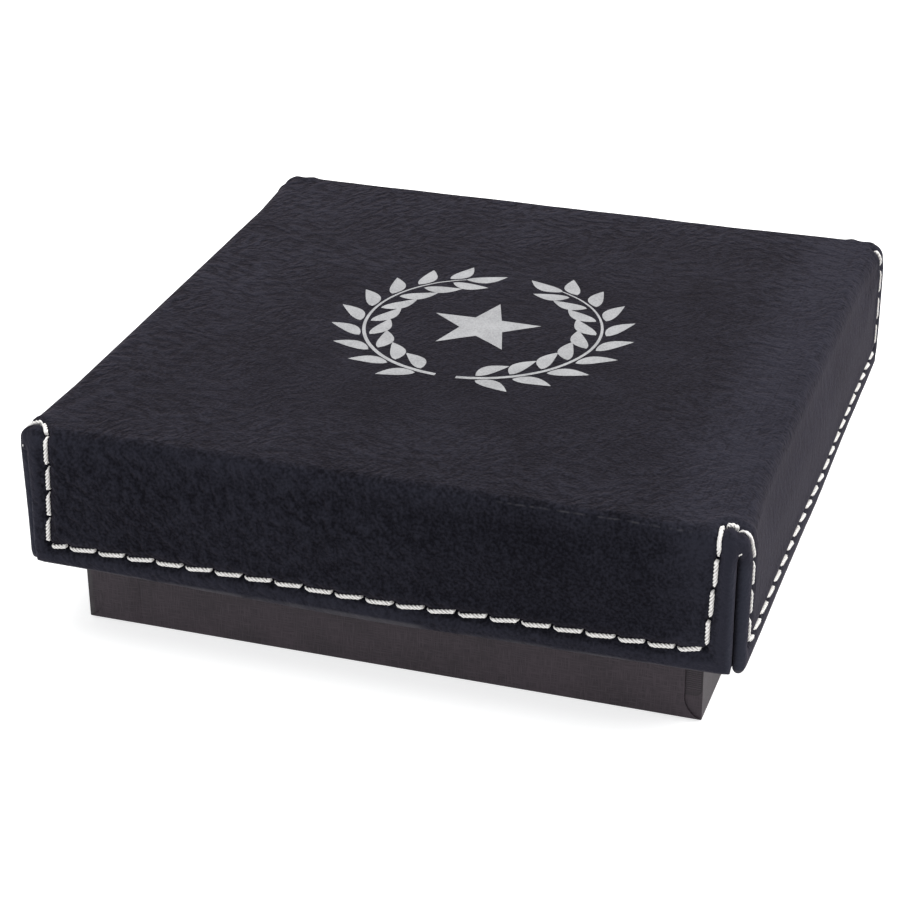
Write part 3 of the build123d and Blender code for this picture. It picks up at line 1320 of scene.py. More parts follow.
    def corner_patch(self, draft: MeshDraft, side: int) -> None:
        """Adds the domed corner at a side's right end, above the slit.

        Args:
            draft: where the faces go.
            side: the side's number.
        """
        along_centre, out_centre = self.centre(side + 1), self.centre(side)
        along_radius, out_radius = self.corner_reach(side + 1), self.corner_reach(side)
        out_drop, along_drop = self.corner_drop(side), self.corner_drop(side + 1)
        turn = self.corner_turns()[None, :]
        lean = np.linspace(0.0, math.pi / 2, self.bend_rows + 1)[:, None]
        drop = out_drop * np.cos(turn) ** 2 + along_drop * np.sin(turn) ** 2
        dome = np.stack(np.broadcast_arrays(
            along_centre + along_radius * np.sin(turn) * np.sin(lean),
            out_centre + out_radius * np.cos(turn) * np.sin(lean),
            self.top - drop + drop * np.cos(lean)), -1)
        foot = dome[-1:].copy()
        foot[..., 2] = self.slit_top
        draft.add_grid(self.placed(np.concatenate([dome, foot]), side))

    def slit_section(self, side: int) -> np.ndarray:
        """Points round a flap's end at the top of the slit.

        Args:
            side: the side's number.

        Returns:
            Points as along and out. The first of them lie on the corner's curve, and the rest run in
            through the leatherette.
        """
        count = self.end_columns + self.roll_steps + 1
        turn = self.corner_turns()[:count]
        along = self.centre(side + 1) + self.corner_reach(side + 1) * np.sin(turn)
        out = self.centre(side) + self.corner_reach(side) * np.cos(turn)
        curve = np.stack([along, out], -1)
        inside = np.full(2, self.tray_fold[0][0])
        share = np.linspace(0.0, 1.0, self.roll_steps + 1)[1:, None]
        return np.concatenate([curve, mix(curve[-1:], inside, share)])

    def rounded(self, along: np.ndarray, up: np.ndarray) -> tuple[np.ndarray, np.ndarray]:
        """Rounds the lower corners of a flap's outer face.

        Args:
            along: positions along the flap.
            up: heights.

        Returns:
            The moved positions and heights.
        """
        radius = self.flap_corner
        inner = self.flap_reach - radius
        floor = self.flap_low + radius
        across = np.clip((np.abs(along) - inner) / radius, 0.0, 1.0)
        down = np.clip((floor - up) / radius, 0.0, 1.0)
        moved_across = across * np.sqrt(1.0 - down * down / 2.0)
        moved_down = down * np.sqrt(1.0 - across * across / 2.0)
        new_along = along + np.sign(along) * (moved_across - across) * radius
        new_up = up - (moved_down - down) * radius
        return new_along, new_up

    def hung(self, points: np.ndarray, side: int) -> np.ndarray:
        """Lets a flap's lower edge sag in its middle and draws it up at its ends.

        Args:
            points: the flap's points in its side's own terms.
            side: the side's number.

        Returns:
            The moved points.
        """
        along, up = points[..., 0], points[..., 2]
        sag = self.edge_sag * np.exp(-(((along - self.edge_sag_middle) / self.edge_sag_width) ** 2))
        lifted = self.side_edge_rise if side % 2 else self.edge_rise
        rise = lifted * smooth(np.abs(along), *self.rise_reach)
        low_share = smooth(self.seam.height - up, 0.0, self.seam.height - self.flap_low)
        lowered = points.copy()
        lowered[..., 2] = up - (sag - rise) * low_share
        return lowered

    def flap_sheet(self, side: int) -> np.ndarray:
        """The outer face of a flap below the top of the slits.

        Args:
            side: the side's number.

        Returns:
            Points as rows by columns by three, in along, out and up.
        """
        middle = self.columns(side)
        section = self.slit_section(side)[: self.end_columns + 1]
        straight = np.linspace(self.centre(side + 1), self.flap_reach, self.end_columns + 1)
        along = chained(-straight[::-1], middle, straight)
        heights = self.flap_heights()
        flat_along, flat_up = np.broadcast_arrays(along[None, :], heights[:, None])
        moved_along, moved_up = self.rounded(flat_along, flat_up)
        out = self.out_at(flat_along, flat_up)
        sheet = np.stack([moved_along, out, moved_up], -1)
        share = self.fall(heights)[:, None]
        count = self.end_columns + 1
        for sign, end in ((1, sheet[:, -count:]), (-1, sheet[:, :count][:, ::-1])):
            end[..., 0] = mix(sign * section[None, :, 0], end[..., 0], share)
            end[..., 1] = mix(section[None, :, 1], np.full_like(end[..., 1], self.hem_face), share)
        return sheet

    def flap_rim(self, side: int, sheet: np.ndarray) -> np.ndarray:
        """The rolled edge round a flap.

        Args:
            side: the flap's side.
            sheet: its outer face.

        Returns:
            Points as places round the flap by steps of the roll by three, in along, out and up.
        """
        right, bottom, left = sheet[:, -1], sheet[-1, ::-1], sheet[::-1, 0]
        path = np.concatenate([right, bottom[1:], left[1:]])
        inner = self.flap_reach - self.flap_corner
        floor = self.flap_low + self.flap_corner
        heart = np.stack([np.clip(path[:, 0], -inner, inner), np.maximum(path[:, 2], floor)], -1)
        facing = path[:, [0, 2]] - heart
        facing /= np.linalg.norm(facing, axis=1, keepdims=True)
        facing /= np.abs(facing).max(axis=1, keepdims=True) ** self.squareness
        steps = 2 * self.roll_steps
        angle = np.linspace(0.0, math.pi, steps + 1)
        full = np.empty((len(path), steps + 1, 3))
        full[..., 0] = path[:, :1] + facing[:, :1] * self.roll * np.sin(angle)
        full[..., 2] = path[:, 2:] + facing[:, 1:] * self.roll * np.sin(angle)
        full[..., 1] = self.hem_face - self.roll * (1.0 - np.cos(angle))
        section = self.slit_section(side)[self.end_columns:]
        share = self.fall(path[:, 2])[:, None]
        sign = np.sign(path[:, :1])
        reach = np.abs(full[..., 0])
        blended = mix(np.broadcast_to(section[None, :, 0], reach.shape), reach, share)
        near_end = share < 1.0
        full[..., 0] = np.where(near_end, sign * blended, full[..., 0])
        full[..., 1] = np.where(near_end, mix(section[None, :, 1], full[..., 1], share), full[..., 1])
        full[:, 0] = path
        return full

    def flap(self, draft: MeshDraft, side: int) -> None:
        """Adds a whole flap: its face, its rolled edge and its hidden inner side.

        Args:
            draft: where the faces go.
            side: the side's number.
        """
        sheet = self.flap_sheet(side)
        rim = self.flap_rim(side, sheet)
        rim[:, -1, 1] = self.tray_fold[0][0]
        sheet, rim = self.hung(sheet, side), self.hung(rim, side)
        draft.add_grid(self.placed(sheet, side))
        draft.add_grid(self.placed(rim, side))
        half, height = self.tray_fold[0]
        shoulders = np.array([[-half, half, height], [half, half, height]])
        draft.add_polygon(self.placed(np.concatenate([rim[:, -1], shoulders]), side))

    def underside(self, draft: MeshDraft) -> None:
        """Adds the hidden inner side of the top, folded over the tray's rounded edges.

        Args:
            draft: where the faces go.
        """
        for low, high in zip(self.tray_fold, self.tray_fold[1:]):
            for side in range(4):
                band = [[[-low[0], low[0], low[1]], [low[0], low[0], low[1]]],
                        [[-high[0], high[0], high[1]], [high[0], high[0], high[1]]]]
                draft.add_grid(self.placed(np.array(band), side))
        half, height = self.tray_fold[-1]
        corners = [(-half, -half), (half, -half), (half, half), (-half, half)]
        draft.add_polygon(np.array([(x, y, height) for x, y in corners]))

    def plain_mesh(self) -> bpy.types.Mesh:
        """The cover before it is sewn and rumpled.

        Returns:
            One closed mesh.
        """
        draft = MeshDraft()
        self.top_sheet(draft)
        for side in range(4):
            self.shoulder(draft, side)
            self.corner_patch(draft, side)
            self.flap(draft, side)
        self.underside(draft)
        return draft.welded("lid_cover_leatherette")

    def outer_skin(self, places: np.ndarray, mesh: bpy.types.Mesh) -> BVHTree:
        """The side of the cover that shows.

        Args:
            places: the positions of the mesh's points, in millimetres.
            mesh: the cover.

        Returns:
            A search tree over its faces.
        """
        faces = [tuple(face.vertices) for face in mesh.polygons]
        shown = [face for face in faces if self.shows(places[list(face)].mean(axis=0))]
        return surface_of(places, shown)

    def shows(self, place: np.ndarray) -> bool:
        """Whether a place is on the outer side of the cover, well clear of the tray."""
        past_wall = np.abs(place[:2]).max() > self.tray_fold[0][0] + self.clear_of_wall
        return bool(past_wall or place[2] > self.tray_fold[-1][1] + self.clear_of_top)

    def seam_stitches(self, skin: BVHTree) -> list[Stitch]:
        """Every stitch of the seam, with its holes on the cover."""
        return [self.on_cover(skin, side, stitch)
                for side in range(4) for stitch in self.seam.stitches(side, self.hem_face, self.top)]

    def tacks(self, skin: BVHTree) -> list[Stitch]:
        """The tacks at the tops of the four slits."""
        return [self.on_cover(skin, side, self.seam.corner_tack()) for side in range(4)]

    def on_cover(self, skin: BVHTree, side: int, stitch: Stitch) -> Stitch:
        """Puts a side's stitch on the cover.

        Args:
            skin: the cover's outer skin.
            side: the side's number.
            stitch: the stitch in the side's own terms.

        Returns:
            The stitch in the row frame, with its holes on the skin.
        """
        start, end, bow = (self.placed(part, side) for part in (stitch.start, stitch.end, stitch.bow))
        start, end = snapped(skin, np.array([start, end]))
        return replace(stitch, start=start, end=end, bow=bow)

    def sewn_mesh(self) -> tuple[bpy.types.Mesh, list[Stitch], BVHTree]:
        """The finished cover.

        Returns:
            The mesh, the seam's stitches, and the cover's outer skin before the thread pulls it in.
        """
        mesh = self.plain_mesh()
        skin = self.outer_skin(places_of(mesh), mesh)
        stitches = self.seam_stitches(skin)
        holes = np.concatenate([[stitch.start, stitch.end] for stitch in stitches])
        self.refine(mesh, holes)
        line = np.concatenate([stitch_path(skin, stitch, self.line_points)[0] for stitch in stitches])
        stitches += self.tacks(skin)
        places = places_of(mesh)
        normals = normals_of(mesh)
        free = self.freedom(places)
        calm = places + normals * (self.rumple(places) * free)[:, None]
        pulled = calm + normals * (self.sewing(places, line, holes) * free)[:, None]
        move_points(mesh, pulled)
        return mesh, stitches, self.outer_skin(calm, mesh)

    def refine(self, mesh: bpy.types.Mesh, holes: np.ndarray) -> None:
        """Halves the mesh's edges near the needle holes.

        Args:
            mesh: the cover, which is changed.
            holes: where the holes are, in millimetres.
        """
        work = bmesh.new()
        work.from_mesh(mesh)
        near = nearest_distance(holes, places_of(mesh)) < self.near_hole
        edges = [edge for edge in work.edges if all(near[vertex.index] for vertex in edge.verts)]
        bmesh.ops.subdivide_edges(work, edges=edges, cuts=1, use_grid_fill=True)
        work.to_mesh(mesh)
        work.free()
        mesh.update()

    def rumple(self, places: np.ndarray) -> np.ndarray:
        """The cover's own unevenness.

        Args:
            places: the positions of its points.

        Returns:
            How far each point stands out, in millimetres.
        """
        total = np.zeros(len(places))
        for number, (wavelength, height) in enumerate(self.ripples):
            total += height * roughened(places, wavelength, self.ripple_seed * (number + 1))
        return total

    def sewing(self, places: np.ndarray, line: np.ndarray, holes: np.ndarray) -> np.ndarray:
        """What the thread does to the leatherette round it.

        Args:
            places: the positions of the cover's points.
            line: places along the seam.
            holes: where the needle holes are.

        Returns:
            How far each point stands out, below zero where it is pulled in, in millimetres.
        """
        near_line = nearest_distance(line, places)
        near_hole = nearest_distance(holes, places)
        groove = self.groove_depth * np.exp(-((near_line / self.groove_width) ** 2))
        pits = self.pit_depth * np.exp(-((near_hole / self.pit_width) ** 2))
        beside = (near_line - self.pillow_away) / self.pillow_width
        return self.pillow_height * np.exp(-(beside ** 2)) - groove - pits

    def freedom(self, places: np.ndarray) -> np.ndarray:
        """Where the surface may move: not in the slits, nor on the side against the tray.

        Args:
            places: the positions of the cover's points.

        Returns:
            A share from 0, held, to 1, free, for each point.
        """
        flat = np.abs(places[:, :2])
        slit_gap = np.abs(flat[:, 0] - flat[:, 1]) / math.sqrt(2)
        in_corner = flat.min(axis=1) > self.tray_fold[0][0] - self.corner_slack
        below_slit = smooth(self.slit_top + self.slit_ease - places[:, 2], 0.0, self.slit_ease)
        held = np.where(in_corner, (1.0 - smooth(slit_gap, *self.slit_hold)) * below_slit, 0.0)
        on_wall = smooth(flat.max(axis=1), *self.free_wall)
        on_top = smooth(places[:, 2], *self.free_top)
        return np.maximum(on_wall, on_top) * (1.0 - held)


def nearest_distance(targets: np.ndarray, places: np.ndarray) -> np.ndarray:
    """How near each place is to any of some targets.

    Args:
        targets: the targets' positions.
        places: the places.

    Returns:
        The distance from each place to its nearest target.
    """
    tree = KDTree(len(targets))
    for number, target in enumerate(targets):
        tree.insert(target, number)
    tree.balance()
    return np.array([tree.find(place)[2] for place in places])


def snapped(skin: BVHTree, points: np.ndarray) -> np.ndarray:
    """Points moved to the nearest place of a surface."""
    return np.array([skin.find_nearest(Vector(point))[0] for point in points])


def stitch_path(
    skin: BVHTree,
    stitch: Stitch,
    count: int,
    insets: Pair = (0.0, 0.0),
) -> tuple[np.ndarray, np.ndarray]:
    """The way of a stitch over a surface, with its points closest together near the holes.

    Args:
        skin: the surface.
        stitch: the stitch.
        count: the number of points.
        insets: how far from its two holes it starts and ends, in millimetres.

    Returns:
        The points, and the direction that the surface faces at each.
    """
    crowding, settled = 0.6, count // 8
    chord = stitch.end - stitch.start
    even = np.linspace(0.0, 1.0, count)
    part = mix(even, 0.5 - 0.5 * np.cos(math.pi * even), crowding)
    length = np.linalg.norm(chord)
    share = mix(insets[0] / length, 1.0 - insets[1] / length, part)[:, None]
    bowed = stitch.start + chord * share + stitch.bow * 4.0 * share * (1.0 - share)
    hits = [skin.find_nearest(Vector(point)) for point in bowed]
    facing = averaged(np.array([hit[1] for hit in hits]), settled)
    return np.array([hit[0] for hit in hits]), facing


@dataclass
class SeamThread:
    """The stitches of the lid's seam, each a short length of twisted thread."""

    radius: float = 0.315
    flatness: float = 0.95
    plies: int = 3
    ply_depth: float = 0.32
    ply_swell: float = 1.6
    ply_middle: float = 0.35
    ply_pitch: float = 0.56
    dip: float = 0.62
    lift: float = -0.09
    rings: int = 42
    around: int = 16
    start_width: float = 0.46
    start_taper: float = 0.26
    start_aside: float = 0.7
    end_width: float = 0.90
    end_taper: float = 0.06
    uneven_lean: float = 0.2
    wobble: float = 0.035
    seed: int = 12

    def stitch(
        self,
        draft: MeshDraft,
        skin: BVHTree,
        stitch: Stitch,
        lean: float,
        phase: float,
    ) -> None:
        """Adds one stitch.

        Args:
            draft: where its faces go.
            skin: the cover's outer skin.
            stitch: the stitch.
            lean: how far its ends stand to either side, in millimetres.
            phase: where its twist begins, in radians.
        """
        line, facing = stitch_path(skin, stitch, self.rings, stitch.short)
        travelled = np.concatenate([[0.0], np.cumsum(np.linalg.norm(np.diff(line, axis=0), axis=1))])
        part = travelled / travelled[-1]
        thick = self.radius * stitch.bulk
        taper = mix(self.start_width, 1.0, smooth(part, 0.0, self.start_taper))
        profile = 1.0 - np.abs(2.0 * part - 1.0) ** np.where(part < 0.5, *stitch.arch)
        rise = stitch.bulk * mix(-self.dip, self.lift, profile)
        sideways = lean * (1.0 - 2.0 * part) + self.start_aside * thick * (1.0 - taper)
        heading = averaged(np.gradient(line, axis=0), 2)
        line = line + facing * rise[:, None] + np.cross(facing, heading) * sideways[:, None]
        along = averaged(np.gradient(line, axis=0), 1)
        side = averaged(np.cross(facing, along), 1)
        upright = np.cross(along, side)
        width = taper * mix(self.end_width, 1.0, smooth(1.0 - part, 0.0, self.end_taper))
        angle = np.linspace(0.0, math.tau, self.around, endpoint=False)[None, :]
        twist = phase + math.tau * travelled[:, None] / (self.ply_pitch * self.plies)
        lobes = np.abs(np.cos(self.plies / 2 * (angle - twist)))
        relief = self.ply_swell * (lobes - self.ply_middle) - 1.0
        reach = thick * width[:, None] * (1.0 + self.ply_depth * relief)
        across = np.cos(angle)[..., None] * side[:, None]
        outward = self.flatness * np.sin(angle)[..., None] * upright[:, None]
        draft.add_tube(line[:, None] + reach[..., None] * (across + outward))

    def mesh(self, skin: BVHTree, stitches: list[Stitch]) -> bpy.types.Mesh:
        """All the stitches of the seam.

        Args:
            skin: the cover's outer skin.
            stitches: the stitches to make.

        Returns:
            One mesh.
        """
        random = np.random.default_rng(self.seed)
        draft = MeshDraft()
        for stitch in stitches:
            lean = stitch.lean * (1.0 + random.normal(0.0, self.uneven_lean))
            lean += stitch.bulk * random.normal(0.0, self.wobble)
            self.stitch(draft, skin, stitch, lean, random.uniform(0.0, math.tau))
        return draft.welded("lid_stitches", 0.0001)


@dataclass
class WreathEngraving:
    """A wreath of laurel round a star, engraved in the middle of the lid.

    Lengths are in millimetres. The foot and the opening are angles in degrees, and the lean of the
    leaves is in radians.
    """

    radius: float = 17.5
    leaf_length: float = 6.4
    leaf_width: float = 2.3
    leaf_fullness: Pair = (0.8, 0.9)
    leaf_curl: float = 0.10
    leaf_points: int = 15
    leaf_lean: float = 0.62
    leaf_gap: float = 0.75
    leaves: int = 9
    first_leaf: float = 0.55
    longest_leaf: float = 0.45
    leaf_shrink: float = 0.25
    foot: float = 5.0
    opening: float = 26.0
    stem_width: float = 0.7
    stem_tip: float = 0.35
    stem_points: int = 40
    star_radius: float = 8.6
    star_waist: float = 0.40
    proud: float = 0.025
    step: float = 0.45

    def leaf(self, root: np.ndarray, heading: float, length: float) -> np.ndarray:
        """Outline of one pointed leaf.

        Args:
            root: where it grows from.
            heading: its direction in radians.
            length: from root to tip.

        Returns:
            Points round it, as x and y.
        """
        share = np.linspace(0.0, 1.0, self.leaf_points)
        lengthwise, crosswise = self.leaf_fullness
        half = 0.5 * self.leaf_width * np.sin(math.pi * share ** lengthwise) ** crosswise
        curl = self.leaf_curl * length * np.sin(math.pi * share)
        right = np.stack([share * length, curl - half], -1)
        left = np.stack([share * length, curl + half], -1)[::-1]
        outline = np.concatenate([right, left[1:-1]])
        cosine, sine = math.cos(heading), math.sin(heading)
        return outline @ np.array([[cosine, sine], [-sine, cosine]]) + root

    def stem(self, low: float, high: float) -> list[np.ndarray]:
        """The thin stem of one half of the wreath.

        Args:
            low: the angle at its foot, in radians.
            high: the angle at its tip.

        Returns:
            Outlines of the short pieces that it is made of.
        """
        angles = np.linspace(low, high, self.stem_points)
        half = self.stem_width * np.linspace(1.0, self.stem_tip, self.stem_points) / 2
        heading = np.stack([np.cos(angles), np.sin(angles)], -1)
        outer, inner = (self.radius + half)[:, None] * heading, (self.radius - half)[:, None] * heading
        strip = np.stack([outer, inner], 1)
        return [np.concatenate([here, there[::-1]]) for here, there in zip(strip, strip[1:])]

    def branch(self, side: int) -> list[np.ndarray]:
        """One half of the wreath: a thin stem and the leaves along it.

        Args:
            side: 1 for the right half and -1 for the left.

        Returns:
            Its outlines.
        """
        low, high = math.radians(self.foot - 90.0), math.radians(90.0 - self.opening)
        outlines = self.stem(low, high)
        for number in range(self.leaves):
            angle = low + (high - low) * (number + self.first_leaf) / self.leaves
            away = abs(number - self.leaves * self.longest_leaf) / self.leaves
            size = self.leaf_length * (1.0 - self.leaf_shrink * away)
            for outward in (1, -1):
                reach = self.radius + outward * self.leaf_gap
                root = reach * np.array([math.cos(angle), math.sin(angle)])
                outlines.append(self.leaf(root, angle + math.pi / 2 - outward * self.leaf_lean, size))
        tip = self.radius * np.array([math.cos(high), math.sin(high)])
        outlines.append(self.leaf(tip, high + math.pi / 2, self.leaf_length))
        return [outline * np.array([side, 1.0]) for outline in outlines]

    def star(self) -> np.ndarray:
        """Outline of the five-pointed star.

        Returns:
            Points round it, as x and y.
        """
        angles = math.pi / 2 + np.arange(10) * math.pi / 5
        reach = np.where(np.arange(10) % 2 == 0, 1.0, self.star_waist) * self.star_radius
        return np.stack([reach * np.cos(angles), reach * np.sin(angles)], -1)

    def outlines(self) -> list[np.ndarray]:
        """Every outline of the engraving, centred on the lid."""
        return [self.star(), *self.branch(1), *self.branch(-1)]

    def mesh(self, skin: BVHTree, top: float) -> bpy.types.Mesh:
        """The engraving as thin skins that follow the leatherette.

        Args:
            skin: the cover's outer skin.
            top: height of the lid's top.

        Returns:
            One mesh.
        """
        work = bmesh.new()
        for outline in self.outlines():
            ring = [work.verts.new((x * MM, y * MM, top * MM)) for x, y in outline]
            work.faces.new(ring)
        bmesh.ops.triangulate(work, faces=work.faces)
        for _ in range(3):
            long_edges = [edge for edge in work.edges if edge.calc_length() > self.step * MM]
            bmesh.ops.subdivide_edges(work, edges=long_edges, cuts=1)
            bmesh.ops.triangulate(work, faces=work.faces)
        bmesh.ops.remove_doubles(work, verts=work.verts, dist=0.002 * MM)
        for vertex in work.verts:
            above = Vector((vertex.co.x / MM, vertex.co.y / MM, top + 5.0))
            hit = skin.ray_cast(above, Vector((0.0, 0.0, -1.0)))[0]
            vertex.co.z = (hit.z + self.proud) * MM
        bmesh.ops.recalc_face_normals(work, faces=work.faces)
        if sum(face.normal.z for face in work.faces) < 0:
            bmesh.ops.reverse_faces(work, faces=work.faces)
        mesh = bpy.data.meshes.new("engraved_wreath")
        work.to_mesh(mesh)
        work.free()
        return mesh


@dataclass
class FoamBed:
    """The foam in the base: a pad, and over it a sheet with round pieces to press out."""

    voxel: float = 0.55
    edge: float = 0.45
    shrink: float = 0.06
    wander: tuple[Pair, ...] = ((9.0, 0.07), (1.4, 0.035))
    wander_seed: float = 3.1
    slot_size: Pair = (40.0, 3.0)
    slot_corner: float = 1.35
    slot_y: float = 37.2
    kerf: float = 0.3
    corner: float = 1.5
    disc_points: int = 160
    recess_points: int = 200

    def round_outline(self, radius: float, centre: Pair, count: int) -> np.ndarray:
        """A number of points round a circle."""
        angle = np.linspace(0.0, math.tau, count, endpoint=False)
        return np.stack([centre[0] + radius * np.cos(angle), centre[1] + radius * np.sin(angle)], -1)

    def square_outline(self, half_x: float, half_y: float, radius: float, centre: Pair) -> np.ndarray:
        """A rectangle with rounded corners.

        Args:
            half_x: half of its size from left to right.
            half_y: half of its size from front to back.
            radius: of its corners.
            centre: its middle.

        Returns:
            Points round it, as x and y.
        """
        points = []
        for number, (side_x, side_y) in enumerate(((1, 1), (-1, 1), (-1, -1), (1, -1))):
            angle = np.linspace(0.0, math.pi / 2, 9) + number * math.pi / 2
            x = centre[0] + side_x * (half_x - radius) + radius * np.cos(angle)
            y = centre[1] + side_y * (half_y - radius) + radius * np.sin(angle)
            points.append(np.stack([x, y], -1))
        return np.concatenate(points)

    def slab(self, name: str, outlines: list[np.ndarray], low: float, high: float) -> bpy.types.Mesh:
        """A slab of foam with soft edges.

        Args:
            name: the mesh's name.
            outlines: its outline and the outlines of its holes.
            low: height of its underside.
            high: height of its upper side.

        Returns:
            The mesh.
        """
        curve = bpy.data.curves.new(name, "CURVE")
        curve.dimensions = "2D"
        curve.fill_mode = "BOTH"
        curve.extrude = ((high - low) / 2 - self.edge) * MM
        curve.bevel_depth = self.edge * MM
        curve.offset = -self.edge * MM
        curve.bevel_resolution = 2
        for outline in outlines:
            spline = curve.splines.new("POLY")
            spline.points.add(len(outline) - 1)
            for point, (x, y) in zip(spline.points, outline):
                point.co = (x * MM, y * MM, 0.0, 1.0)
            spline.use_cyclic_u = True
        holder = bpy.data.objects.new(name, curve)
        bpy.context.scene.collection.objects.link(holder)
        flat = bpy.data.meshes.new_from_object(holder)
        bpy.data.objects.remove(holder)
        flat.transform(Matrix.Translation((0.0, 0.0, (low + high) / 2 * MM)))
        return self.remeshed(name, flat)

    def remeshed(self, name: str, flat: bpy.types.Mesh) -> bpy.types.Mesh:
        """Wraps a slab in a fine, slightly uneven skin.

        Args:
            name: the new mesh's name.
            flat: the slab.

        Returns:
            The new mesh.
        """
        holder = bpy.data.objects.new(name, flat)
        bpy.context.scene.collection.objects.link(holder)
        modifier = holder.modifiers.new("even", "REMESH")
        modifier.mode = "VOXEL"
        modifier.voxel_size = self.voxel * MM
        graph = bpy.context.evaluated_depsgraph_get()
        mesh = bpy.data.meshes.new_from_object(holder.evaluated_get(graph))
        bpy.data.objects.remove(holder)
        places = places_of(mesh)
        shift = np.full(len(places), -self.shrink)
        for number, (wavelength, height) in enumerate(self.wander):
            shift += height * roughened(places, wavelength, self.wander_seed * (number + 2))
        move_points(mesh, places + normals_of(mesh) * np.minimum(shift, 0.0)[:, None])
        mesh.name = name
        return mesh


@dataclass
class Lid:
    """The lift-off lid: a wrapped board tray under a stitched leatherette cover."""

    leatherette: bpy.types.Material
    thread: bpy.types.Material
    engraving: bpy.types.Material

    def build(self) -> None:
        """Makes the cover, its stitches and the engraving."""
        low, high = box_of("lid_cover")
        cover = LeatherCover(hem_face=high[0], top=high[2], lower_edge=low[2])
        mesh, stitches, skin = cover.sewn_mesh()
        piece = make_piece("leatherette_cover", mesh, self.leatherette, Body.LID)
        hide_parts("lid_cover")
        sewn = SeamThread().mesh(skin, stitches)
        seam = make_piece("seam_stitches", sewn, self.thread, Body.LID)
        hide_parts("lid_stitching")
        wreath = WreathEngraving().mesh(skin, cover.top)
        make_piece("engraved_wreath", wreath, self.engraving, Body.LID)


@dataclass
class Base:
    """The foam bed of the base."""

    foam: bpy.types.Material

    def discs(self) -> list[str]:
        """Names of the press-out pieces, from the smallest."""
        names = [name for name in frame["nodes"] if name.startswith(("foam_plug", "foam_ring"))]
        return sorted(names, key=lambda name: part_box(name)[1].x)

    def build(self) -> None:
        """Makes every foam piece."""
        bed = FoamBed()
        inner = []
        for name in self.discs():
            low, high = box_of(name)
            centre, cut = (0.0, (low[1] + high[1]) / 2), high[0] + bed.kerf
            outline = bed.round_outline(high[0], centre, bed.disc_points)
            self.put(name, bed.slab(f"{name}_foam", [outline, *inner], low[2], high[2]))
            inner = [bed.round_outline(cut, centre, bed.disc_points)]
        recess = bed.round_outline(cut, centre, bed.recess_points)
        half_x, half_y = (size / 2 for size in bed.slot_size)
        slot = bed.square_outline(half_x, half_y, bed.slot_corner, (0.0, bed.slot_y))
        for name, holes in (("foam_insert", [slot, recess]), ("foam_pad", [slot])):
            low, high = box_of(name)
            outline = bed.square_outline(high[0], high[1], bed.corner, (0.0, 0.0))
            self.put(name, bed.slab(f"{name}_foam", [outline, *holes], low[2], high[2]))

    def put(self, node_name: str, mesh: bpy.types.Mesh) -> None:
        """Shows a foam mesh in the place of a node, on the node's own body.

        Args:
            node_name: the node.
            mesh: the foam.
        """
        body = Body(frame["nodes"][node_name]["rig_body"])
        piece = make_piece(f"soft_{node_name}", mesh, self.foam, body, NO_SHARP_EDGES)
        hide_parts(node_name)


@dataclass
class BoardAndPaper:
    """The boards, wraps, liner and stays, which keep their shapes and get their finishes."""

    linen: bpy.types.Material
    board: bpy.types.Material
    black_paper: bpy.types.Material
    kraft_paper: bpy.types.Material

    def finish_of(self, name: str) -> bpy.types.Material:
        """The finish of a node.

        Args:
            name: the node's name.

        Returns:
            Its material.
        """
        if "stay" in name:
            return self.kraft_paper
        if name.endswith("_board"):
            return self.board
        return self.linen if name == "base_wrap" else self.black_paper

    def build(self) -> None:
        """Gives every node that still shows its finish."""
        for name, piece in frame["nodes"].items():
            if piece.hide_render:
                continue
            piece.data.materials.clear()
            piece.data.materials.append(self.finish_of(name))
            LOG.info("%s: dressed in %s", name, self.finish_of(name).name)


